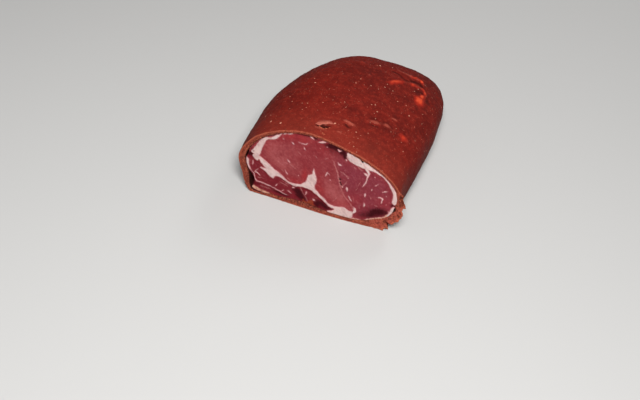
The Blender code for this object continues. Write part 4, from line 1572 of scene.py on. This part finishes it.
face_points = np.column_stack(
    [flat_face[:, 0], flat_face[:, 1] * LEAN_BACK - face_rise, flat_face[:, 1]]
)
side_points = np.vstack([*meat_rings, far_tip(meat_length)])
meat_points = np.vstack([face_points, side_points])
side_numbers = len(face_points) + np.arange(len(side_points) - 1).reshape(len(meat_rings), -1)
side_table = np.vstack([grid_border(face_table), side_numbers])
meat_faces = grid_faces(face_table) + sleeve_faces(side_table)
meat_faces += fan_faces(side_table[-1], len(meat_points) - 1)
on_sides = face_marks(side_points[:, 0], side_points[:, 2])
meat_marks = {name: np.append(values, on_sides[name]) for name, values in on_face.items()}
beef = make_piece("beef", meat_points, meat_faces, MEAT_SHARP_ANGLE, meat_marks)

# %% [markdown]
# ## A small language for finishes
#
# A material in Blender is a net of nodes, and a net made by hand soon can't be read. Wrapping one
# socket in a small class lets a finish be written as sums: 1 - mask adds its own Math node. Every
# other kind of node comes from one method, which sets the node's own settings first and then gives
# each socket a value or a wire. Plain numbers never become nodes, because Python works them out.

# %% Wires


def fill(tree, inputs, values):
    """Gives each of these sockets its value, or links it to its wire."""
    for key, value in values.items():
        if isinstance(value, Wire):
            tree.links.new(value.socket, inputs[key])
        else:
            inputs[key].default_value = value


class Wire:
    """A socket of a material's node tree."""

    def __init__(self, tree, socket=None):
        self.tree, self.socket = tree, socket

    def node(self, kind, settings, sockets, output=0):
        """Adds a node: its settings, then a value or a wire for each socket, and gives an output."""
        made = self.tree.nodes.new(kind)
        for name, value in settings.items():
            setattr(made, name, value)
        fill(self.tree, made.inputs, sockets)
        return Wire(self.tree, made.outputs[output])

    def maths(self, operation, *values):
        return self.node("ShaderNodeMath", {"operation": operation}, dict(enumerate(values)))

    def __add__(self, other):
        return self.maths("ADD", self, other)

    def __radd__(self, other):
        return self.maths("ADD", other, self)

    def __sub__(self, other):
        return self.maths("SUBTRACT", self, other)

    def __rsub__(self, other):
        return self.maths("SUBTRACT", other, self)

    def __mul__(self, other):
        return self.maths("MULTIPLY", self, other)

    def __rmul__(self, other):
        return self.maths("MULTIPLY", other, self)

    def step(self, low, high):
        """0 at low and 1 at high, with a smooth change between them; low may be the larger."""
        ends = {"Value": self, "From Min": low, "From Max": high}
        return self.node("ShaderNodeMapRange", {"interpolation_type": "SMOOTHSTEP"}, ends)

    def swing(self, width):
        """Unevenness from 0 to 1 as a swing of this width to both sides of 0."""
        return (self - 0.5) * width


print("a wire can:", ", ".join(name for name in vars(Wire) if not name.startswith("__")))

# %% [markdown]
# ## A finish
#
# A finish is one material with its shader, the marks that it reads from the mesh, and its noises,
# which are measured in millimetres. Colours are laid over each other like coats of paint: each has
# the share of the surface that it covers, which is mostly a noise or a mark with a soft step that
# says where the colour starts and where it is full, times how strong it is at its fullest.

# %% A finish


class Finish:
    """A material whose Principled shader is fed by wires."""

    def __init__(self, name):
        self.material = bpy.data.materials.new(name)
        self.material.use_nodes = True
        self.tree = self.material.node_tree
        self.shader = self.tree.nodes["Principled BSDF"]
        self.start = Wire(self.tree)
        place = self.start.node("ShaderNodeTexCoord", {}, {}, "Object")
        scale = {0: place, "Scale": 1 / MM}
        self.place = self.start.node("ShaderNodeVectorMath", {"operation": "SCALE"}, scale)

    def mark(self, name):
        """A number stored on the mesh."""
        return self.start.node("ShaderNodeAttribute", {"attribute_name": name}, {}, "Fac")

    def noise(self, size, detail=2.0, rough=0.5, shift=(0, 0, 0), stretch=(1, 1, 1), turn=0.0):
        """Unevenness from 0 to 1 of about size millimetres, stretched along axes turned in the cut."""
        place = self.place
        if turn:
            around = {"Vector": place, "Angle": radians(turn)}
            place = self.start.node("ShaderNodeVectorRotate", {"rotation_type": "Y_AXIS"}, around)
        moved = {0: place, 1: tuple(1 / (size * s) for s in stretch), 2: shift}
        place = self.start.node("ShaderNodeVectorMath", {"operation": "MULTIPLY_ADD"}, moved)
        grain = {"Vector": place, "Scale": 1.0, "Detail": detail, "Roughness": rough}
        return self.start.node("ShaderNodeTexNoise", {}, grain)

    def cells(self, size, feature="F1"):
        """Distance to the nearest of many scattered points, for grains and flecks."""
        grain = {"Vector": self.place, "Scale": 1 / size}
        return self.start.node("ShaderNodeTexVoronoi", {"feature": feature}, grain, "Distance")

    def lay(self, ground, *layers):
        """Lays colours over a ground, each with the share of the surface that it covers."""
        for colour, share in layers:
            sockets = {0: share, 6: ground, 7: colour}
            ground = self.start.node("ShaderNodeMix", {"data_type": "RGBA"}, sockets, 2)
        return ground

    def bump(self, height, millimetres):
        sockets = {"Height": height, "Strength": 1.0, "Distance": millimetres * MM}
        return self.start.node("ShaderNodeBump", {}, sockets)

    def feed(self, sockets):
        """Gives the shader's sockets, by their names in Blender, their values or wires."""
        fill(self.tree, self.shader.inputs, sockets)

    def dress(self, piece):
        piece.data.materials.append(self.material)
        print(f"{piece.name} wears {self.material.name}, {len(self.tree.nodes)} nodes")


def paint(red, green, blue):
    """A colour as a screen shows it, 0 to 255, in the linear values that shaders count in."""
    levels = np.array([red, green, blue]) / 255
    linear = np.where(levels <= 0.04045, levels / 12.92, ((levels + 0.055) / 1.055) ** 2.4)
    return (*linear.tolist(), 1.0)


print("brick red on a screen is, to a shader,", [round(level, 3) for level in paint(123, 27, 18)])

# %% [markdown]
# ## Grain of the paste
#
# Dried spice paste is a fine powder bound by a little oil, with darker flecks of ground chilli and
# paler grains of fenugreek. Its noises run from broad patches down to powder, so that it looks
# right from across the room and close up. Flecks and seeds are small discs, cut out of the distance
# to scattered points.

# %% Grain of the paste
paste = Finish("spice_paste")
wide = paste.noise(48, 2, 0.5)
broad = paste.noise(12, 4, 0.6, (3, 1, 7))
patchy = paste.noise(4.5, 3, 0.6, (8, 2, 1))
fine = paste.noise(1.5, 3, 0.65)
powder = paste.noise(0.6, 2, 0.7)
flecks = paste.cells(2.4).step(0.2, 0.08)
seeds = (paste.cells(2.7) - broad.swing(0.3)).step(0.16, 0.06)
granules = (paste.cells(1.1) + powder.swing(0.6) + patchy.swing(0.4)).step(0.5, 0.1)
print("nodes for the grain of the paste:", len(paste.tree.nodes))

# %% [markdown]
# ## Skin of the coat
#
# The skin is brick red, darker where it is thick and dry and warmer where hands pressed it thin. It is
# dusty in patches, with a painted sheen near the cut, painted shade darkens it down the flanks, its
# crests are worn pale with a painted highlight, and painted shade makes its creases nearly black.

# %% Skin of the coat
SKIN_DARK, SKIN, SKIN_WARM = paint(86, 17, 12), paint(123, 27, 18), paint(150, 41, 28)
# the worn colour is also a painted highlight, and the dusty one also a painted sheen
SKIN_WORN_AND_HIGHLIT, SKIN_DUST_AND_SHEEN = paint(172, 80, 64), paint(150, 56, 42)
# the crease and flank colours are painted shade
CREASE_PAINTED_SHADE, FLANK_PAINTED_SHADE = paint(62, 11, 8), paint(76, 16, 11)
CHILLI_FLECK, SEED_FLECK = paint(78, 13, 9), paint(196, 112, 88)

crest, behind_cut = paste.mark("crest"), paste.mark("from_cut")
skin = paste.lay(
    SKIN_DARK,
    (SKIN, (wide * 0.5 + broad * 0.35 + patchy * 0.3).step(0.3, 0.7)),
    (SKIN_WARM, (broad * 0.4 + patchy * 0.7).step(0.48, 0.82) * 0.7),
    (SKIN_DARK, fine.step(0.55, 0.34) * 0.35),
    (SKIN_WARM, powder.step(0.5, 0.75) * 0.5),
    (SKIN_DUST_AND_SHEEN, (patchy * 0.6 + fine * 0.4).step(0.5, 0.72) * 0.35),
    # painted sheen near the cut, where the light is brighter
    (SKIN_DUST_AND_SHEEN, behind_cut.step(60, 0) * (0.18 + patchy * 0.45)),
    # painted shade: the flanks darker the lower they lie, and the left shoulder
    (FLANK_PAINTED_SHADE, paste.mark("shaded") * 0.85),
    # pale crests: partly wear, partly a painted highlight
    (SKIN_WORN_AND_HIGHLIT, crest.step(0.15, 0.9) * (0.2 + fine * 0.8)),
    # painted shade in the creases
    (CREASE_PAINTED_SHADE, crest.step(-0.1, -0.9) * 0.8),
    (CHILLI_FLECK, flecks * 0.22),
    (SEED_FLECK, seeds * 0.45),
    # worn spots, with a painted highlight on the ridges
    (SKIN_WORN_AND_HIGHLIT, (paste.mark("worn_and_highlit") * (0.5 + fine)).step(0.2, 0.9) * 0.7),
)
print("nodes with the skin:", len(paste.tree.nodes))

# %% [markdown]
# ## Rim of the coat
#
# The broken rim is a duller brown, since it shows the inside of the paste, and painted shade darkens it
# towards the beef. Granules of broken paste are pale on it, the line along its outer edge is paler paste
# with a painted highlight, and a faint pale line runs near its inner edge. The crumbled lip is rosier,
# with painted shade in the gaps between its crumbs and a painted highlight along its outer edge.

# %% Rim of the coat
# the dark rim colour is also painted shade, and the pale one also a painted highlight
RIM_DARK_AND_SHADE, RIM_BROWN, RIM_PALE_AND_HIGHLIGHT = paint(58, 17, 12), paint(110, 37, 24), paint(198, 106, 78)
LIP_ROSE = paint(180, 84, 70)

rim_share, on_lip = paste.mark("over_rim"), paste.mark("lip")
outer_pale_and_lit_line = (rim_share + fine.swing(0.4)).step(0.3, 0.0)
inner_line = rim_share.step(0.55, 0.72) * rim_share.step(0.95, 0.8)
lip_edge_highlight = (rim_share + fine.swing(0.15)).step(0.14, 0.0)
broken = paste.lay(
    RIM_BROWN,
    # painted shade: the rim darker towards the beef
    (RIM_DARK_AND_SHADE, (rim_share * 0.9 + patchy * 0.5).step(0.45, 1.0) * (1 - on_lip * 0.6)),
    (LIP_ROSE, (fine.step(0.42, 0.62) * 0.4 + on_lip * 0.45) * (0.4 + patchy)),
    (RIM_PALE_AND_HIGHLIGHT, granules * 0.2 * fine.step(0.36, 0.6) * (1 - on_lip * 0.4)),
    # outer edge: paler paste with a painted highlight
    (RIM_PALE_AND_HIGHLIGHT, outer_pale_and_lit_line * (0.25 + fine * 0.7 + on_lip * 0.45)),
    (RIM_PALE_AND_HIGHLIGHT, inner_line * broad.step(0.4, 0.65) * (1 - on_lip) * 0.4),
    (RIM_DARK_AND_SHADE, fine.step(0.5, 0.32) * (0.34 - on_lip * 0.1)),
    # painted shade in the gaps between the crumbs of the lip
    (RIM_DARK_AND_SHADE, on_lip * paste.mark("gaps").step(0.45, 0.1) * 0.8),
    # painted highlight along the outer edge of the lip
    (RIM_PALE_AND_HIGHLIGHT, lip_edge_highlight * on_lip * 0.7),
)
print("nodes with the rim:", len(paste.tree.nodes))

# %% [markdown]
# ## Wet spots, and the whole coat
#
# The skin and the rim meet at the edge of the cut, which gets a little pale dust and a painted
# highlight. A few spots at the back are still wet: they run from deep red to orange, with a painted
# highlight nearly white in the middle, and they are smoother than the rest, so that they shine. Tears
# and the inside of the coat are painted dark as shade.

# %% Spice paste
# the palest of these is a painted highlight
WET_DEEP, WET_ORANGE, WET_PAINTED_HIGHLIGHT = paint(164, 38, 24), paint(226, 76, 42), paint(248, 164, 128)
# painted shade for the torn pits and the inside of the coat
TEAR_AND_INSIDE_SHADE = paint(40, 12, 8)

wet_and_highlight, inner = paste.mark("wet_and_highlight"), paste.mark("inner_side")
soft_wet_and_highlight = wet_and_highlight * (0.5 + patchy)
# pale dust with a painted highlight along the edge of the cut
edge_dust_and_highlight = behind_cut.step(2.0, 0.0) * (1 - inner) * (granules * 0.5 + powder).step(0.4, 0.9)
paste_colour = paste.lay(
    skin,
    (broken, rim_share.step(0.0, 0.03)),
    (RIM_PALE_AND_HIGHLIGHT, edge_dust_and_highlight * 0.35),
    # painted shade on the inside of the coat, seen only down the cracks
    (TEAR_AND_INSIDE_SHADE, inner * 0.7),
    (WET_DEEP, soft_wet_and_highlight.step(0.05, 0.7)),
    (WET_ORANGE, (soft_wet_and_highlight + fine.swing(0.5)).step(0.55, 1.2) * 0.9),
    # painted highlight, nearly white, in the middle of the wet spots
    (WET_PAINTED_HIGHLIGHT, (wet_and_highlight + fine.swing(0.4)).step(1.25, 2.1) * 0.65),
    # painted shade in the torn pits
    (TEAR_AND_INSIDE_SHADE, paste.mark("torn").step(0.35, 0.8)),
)
paste_height = fine * 0.6 + powder * 0.3 + patchy * 0.9 + seeds * 0.1 - flecks * 0.1
paste.feed({
    "Base Color": paste_colour,
    "Roughness": 0.68 + fine * 0.14 - wet_and_highlight.step(0.5, 1.2) * 0.3,
    "Specular IOR Level": 0.12,
    "Normal": paste.bump(paste_height, 0.8),
})
paste.dress(coat)

# %% [markdown]
# ## Finishes of flap, grains and crumbs
#
# The small pieces share one recipe: each grain has a random number of its own, its tint, which
# picks a colour between two ends, and a fine noise keeps any single grain from being one flat
# colour. Grains of fenugreek are pale and waxy, chaff is dusted red by the paste, and crumbs of
# broken paste run from dark brick to tan. The flap goes by how far each place is lifted.

# %% Small pieces: dull and bright colour, mark and its strength, roughness
SMALL_PIECES = [
    (grains, "seed_grain", (136, 44, 33), (228, 164, 136), "tint", 0.9, 0.5),
    (chaff, "chaff_straw", (140, 46, 34), (200, 114, 94), "tint", 0.9, 0.55),
    (crumbs, "broken_paste", (98, 32, 22), (192, 100, 72), "tint", 0.9, 0.7),
    (flap, "peeled_paste", (128, 40, 30), (196, 110, 92), "lifted", 0.6, 0.75),
]

for piece, name, dull, bright, mark, strength, roughness in SMALL_PIECES:
    finish = Finish(name)
    speck = finish.noise(0.45, 2, 0.6)
    cloud = finish.noise(2.6, 3, 0.6)
    share = (finish.mark(mark) * strength + speck * 0.7 + cloud * 0.5 - 0.45).step(0.1, 0.95)
    finish.feed({
        "Base Color": finish.lay(paint(*dull), (paint(*bright), share)),
        "Roughness": roughness + speck * 0.15,
        "Specular IOR Level": 0.15,
        "Normal": finish.bump(speck + cloud * 0.6, 0.15),
    })
    finish.dress(piece)

# %% [markdown]
# ## Grain of the beef
#
# On a cross cut the bundles of fibres show as small soft cells, and the knife drew them out into
# threads that run down to the right, steeper in the muscle on the right. Each noise is stretched
# along an axis that is turned in the plane of the cut. All of them added up make a ragged line,
# which tears the edges of fat and sinew, so that they don't look drawn.

# %% Grain of the beef
flesh = Finish("cured_beef")
cloud = flesh.noise(12, 3, 0.55)
blotch = flesh.noise(4.6, 3, 0.6, (2, 7, 0))
fibre = flesh.noise(1.7, 3, 0.62, (0, 5, 0), (1.5, 1, 1), -38)
down_right = flesh.noise(1.3, 3, 0.6, (0, 9, 0), (5.0, 1, 1), -36)
steeper = flesh.noise(1.3, 3, 0.6, (0, 4, 0), (4.5, 1, 1), -62)
threads = down_right + (steeper - down_right) * flesh.mark("purple")
veins = flesh.noise(2.4, 4, 0.6, (4, 2, 0), (2.4, 1, 1), -38)
speck = flesh.noise(0.55, 2, 0.6)
bundles = flesh.cells(2.0, "SMOOTH_F1")
ragged = threads.swing(0.9) + fibre.swing(0.7) + speck.swing(0.6) + veins.swing(0.9)
print("nodes for the grain of the beef:", len(flesh.tree.nodes))

# %% [markdown]
# ## Lean
#
# The lean is mixed from its tones by the marks on the mesh, then broken up by the grain. Dried places,
# which also carry painted shade, aren't blots: the darkness is torn along the threads before it is cut
# off. Sinews are pale but never quite white, and a faint rose surrounds all fat.

# %% Lean
# the dusty colour is also a painted sheen
LEAN_EYE, LEAN_DUST_AND_SHEEN, LEAN_BLUSH = paint(138, 48, 53), paint(166, 82, 83), paint(156, 44, 47)
# the dried colour is also painted shade
LEAN_DEEP, LEAN_PURPLE, LEAN_DRIED_AND_SHADE = paint(112, 22, 33), paint(129, 49, 61), paint(60, 12, 18)
FIBRE_PALE, SINEW_PALE, FAT_ROSE = paint(174, 98, 98), paint(206, 138, 134), paint(198, 132, 134)

dried, fat_depth = flesh.mark("dried"), flesh.mark("fat") + ragged
dryness_and_shade = dried * (0.5 + cloud * 0.9) + fibre.swing(0.5) + threads.swing(0.8) + blotch.swing(0.3)
sinew = (flesh.mark("sinew") + ragged * 1.1).step(-0.7, 0.9)
lean = flesh.lay(
    LEAN_EYE,
    # dusty tone with a painted sheen
    (LEAN_DUST_AND_SHEEN, flesh.mark("dusty_and_sheen") * (0.5 + cloud * 0.7)),
    (LEAN_PURPLE, flesh.mark("purple") * (0.55 + cloud * 0.6)),
    (LEAN_BLUSH, flesh.mark("blush") * (0.4 + cloud)),
    (LEAN_DEEP, flesh.mark("deep") * (0.7 + cloud * 0.4)),
    (LEAN_DEEP, (cloud * 0.5 + blotch * 0.5).step(0.56, 0.32) * 0.4),
    (FIBRE_PALE, (blotch * 0.5 + fibre * 0.5).step(0.5, 0.72) * 0.4),
    (FIBRE_PALE, threads.step(0.55, 0.8) * 0.35),
    (LEAN_DEEP, threads.step(0.46, 0.2) * 0.35),
    (LEAN_DEEP, (bundles.step(0.3, 0.7) + fibre.step(0.46, 0.25)) * 0.2),
    # dried meat and painted shade
    (LEAN_DRIED_AND_SHADE, dryness_and_shade.step(0.08, 1.1)),
    (SINEW_PALE, sinew * (0.1 + fibre * 0.8)),
    (FAT_ROSE, fat_depth.step(-1.4, 0.2) * 0.16),
)
print("nodes with the lean:", len(flesh.tree.nodes))

# %% [markdown]
# ## Fat
#
# Fat is white in the thick seams and rose where it is thin enough for the red to show through,
# which the depth on the mesh tells. It has veins and threads of its own, and takes up grey and rose
# from what lies beside it.

# %% Fat
FAT_WHITE, FAT_GREY = paint(214, 186, 181), paint(176, 134, 132)

in_fat = fat_depth.step(-0.3, 0.22)
thickness = (flesh.mark("fat") + blotch.swing(1.6) + veins.swing(1.2)).step(-0.2, 1.2)
fat = flesh.lay(
    FAT_ROSE,
    (FAT_WHITE, thickness),
    (FAT_GREY, veins.step(0.52, 0.34) * 0.5),
    (FAT_GREY, flesh.mark("stain") * (0.6 + threads * 0.7)),
    (FAT_ROSE, threads.step(0.58, 0.8) * 0.18),
)
print("nodes with the fat:", len(flesh.tree.nodes))

# %% [markdown]
# ## The whole beef
#
# Fat lies over the lean, and cream, smeared paste and painted shade in the holes lie over both. A thin
# clear coat gives the moist lean a faint gloss, and leaves it off where the mark of dried meat and
# painted shade is high. A little light goes into the flesh and comes out red beside where it went in.

# %% Cured beef
# the hole colour is painted shade
FAT_CREAM, CREAM_DARK, HOLE_PAINTED_SHADE = paint(208, 154, 132), paint(136, 70, 54), paint(36, 8, 10)
SMEAR_DARK, SMEAR = paint(88, 30, 20), paint(156, 64, 42)

cream = flesh.lay(CREAM_DARK, (FAT_CREAM, (blotch * 0.5 + veins * 0.5).step(0.36, 0.56)))
in_cream = (flesh.mark("cream") * (0.1 + fibre * 1.1 + blotch * 0.6)).step(0.2, 1.0)
smear = flesh.lay(SMEAR_DARK, (SMEAR, (fibre * 0.6 + speck * 0.6).step(0.35, 0.8)))
in_smear = (flesh.mark("smear") * (0.4 + fibre * 1.2)).step(0.3, 0.7)
in_hole = flesh.mark("hole").step(0.35, 0.8)
flesh_colour = flesh.lay(
    # painted shade in the holes and the notch
    lean, (fat, in_fat), (cream, in_cream), (smear, in_smear), (HOLE_PAINTED_SHADE, in_hole)
)
flesh_height = fibre * 0.5 + speck * 0.3 - bundles * 0.3
flesh_height = flesh_height + in_fat * 0.4 + veins * in_fat * 0.2 + threads * 0.15
flesh.feed({
    "Base Color": flesh_colour,
    "Roughness": 0.5 - in_fat * 0.04 + speck.swing(0.2) + dried * 0.1,
    "Specular IOR Level": 0.05,
    "Coat Weight": dried.step(0.6, 0.1) * 0.14,
    "Coat Roughness": 0.4,
    "Subsurface Weight": 0.1,
    "Subsurface Radius": (1.0, 0.35, 0.25),
    "Subsurface Scale": 0.0012,
    "Normal": flesh.bump(flesh_height, 0.4),
})
flesh.dress(beef)

# %% [markdown]
# ## Floor and light
#
# The block stands on a plain pale floor. A large soft lamp above the camera lights the top and the
# cut and leaves both flanks in shade, a weaker one from behind draws the far edge and makes the wet
# spots shine, and a faint one at the left and a dim surround keep the shade from going black.

# %% Floor and lamps: place, size in metres and power of each lamp
FLOOR_SIZE, FLOOR_DROP = 6.0, 0.0002
FLOOR_FINISH = {"Base Color": paint(206, 205, 203), "Roughness": 0.85}
SURROUND = {"Strength": 0.08, "Color": (1, 1, 1, 1)}
LAMPS = {
    "key": ((0.22, -0.84, 1.25), 0.7, 24.5),
    "fill": ((-1.3, -0.9, 0.9), 1.4, 1.0),
    "back": ((0.4, 1.15, 1.0), 0.6, 4.0),
}


def make_floor():
    half = FLOOR_SIZE / 2
    mesh = bpy.data.meshes.new("floor")
    corners = [(-half, -half, 0), (half, -half, 0), (half, half, 0), (-half, half, 0)]
    mesh.from_pydata(corners, [], [(0, 1, 2, 3)])
    floor = add_object("floor", mesh)
    floor.location.z = -FLOOR_DROP
    paper = Finish("floor_paper")
    paper.feed(FLOOR_FINISH)
    paper.dress(floor)
    floor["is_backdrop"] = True


def make_lamps():
    for name, (place, size, power) in LAMPS.items():
        data = bpy.data.lights.new(name, "AREA")
        data.shape = "DISK"
        data.size, data.energy = size, power
        lamp = add_object(name, data)
        lamp.location = place
        lamp.rotation_euler = (-Vector(place)).to_track_quat("-Z", "Y").to_euler()
    world = bpy.data.worlds.new("surround")
    world.use_nodes = True
    fill(world.node_tree, world.node_tree.nodes["Background"].inputs, SURROUND)
    bpy.context.scene.world = world
    bpy.context.scene.view_settings.view_transform = "Standard"


make_floor()
make_lamps()
print("lamps:", ", ".join(LAMPS))

# %% [markdown]
# ## Joining the pieces to the model
#
# The beef and the coat stand for the two plain solids, the small pieces are added to them, and
# everything rides on the one body that the model has, because food has no joints.

# %% Pieces and sizes
for piece, node in ((coat, "spice_coat"), (beef, "cured_meat")):
    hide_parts(node)
for piece in (coat, beef, flap, grains, chaff, crumbs):
    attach(piece, "root")

boxes = {"cad": cad_box, "visual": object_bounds()}
for name, (low, high) in boxes.items():
    print(name, "mm:", [round(x * 1000, 1) for x in (high - low)])
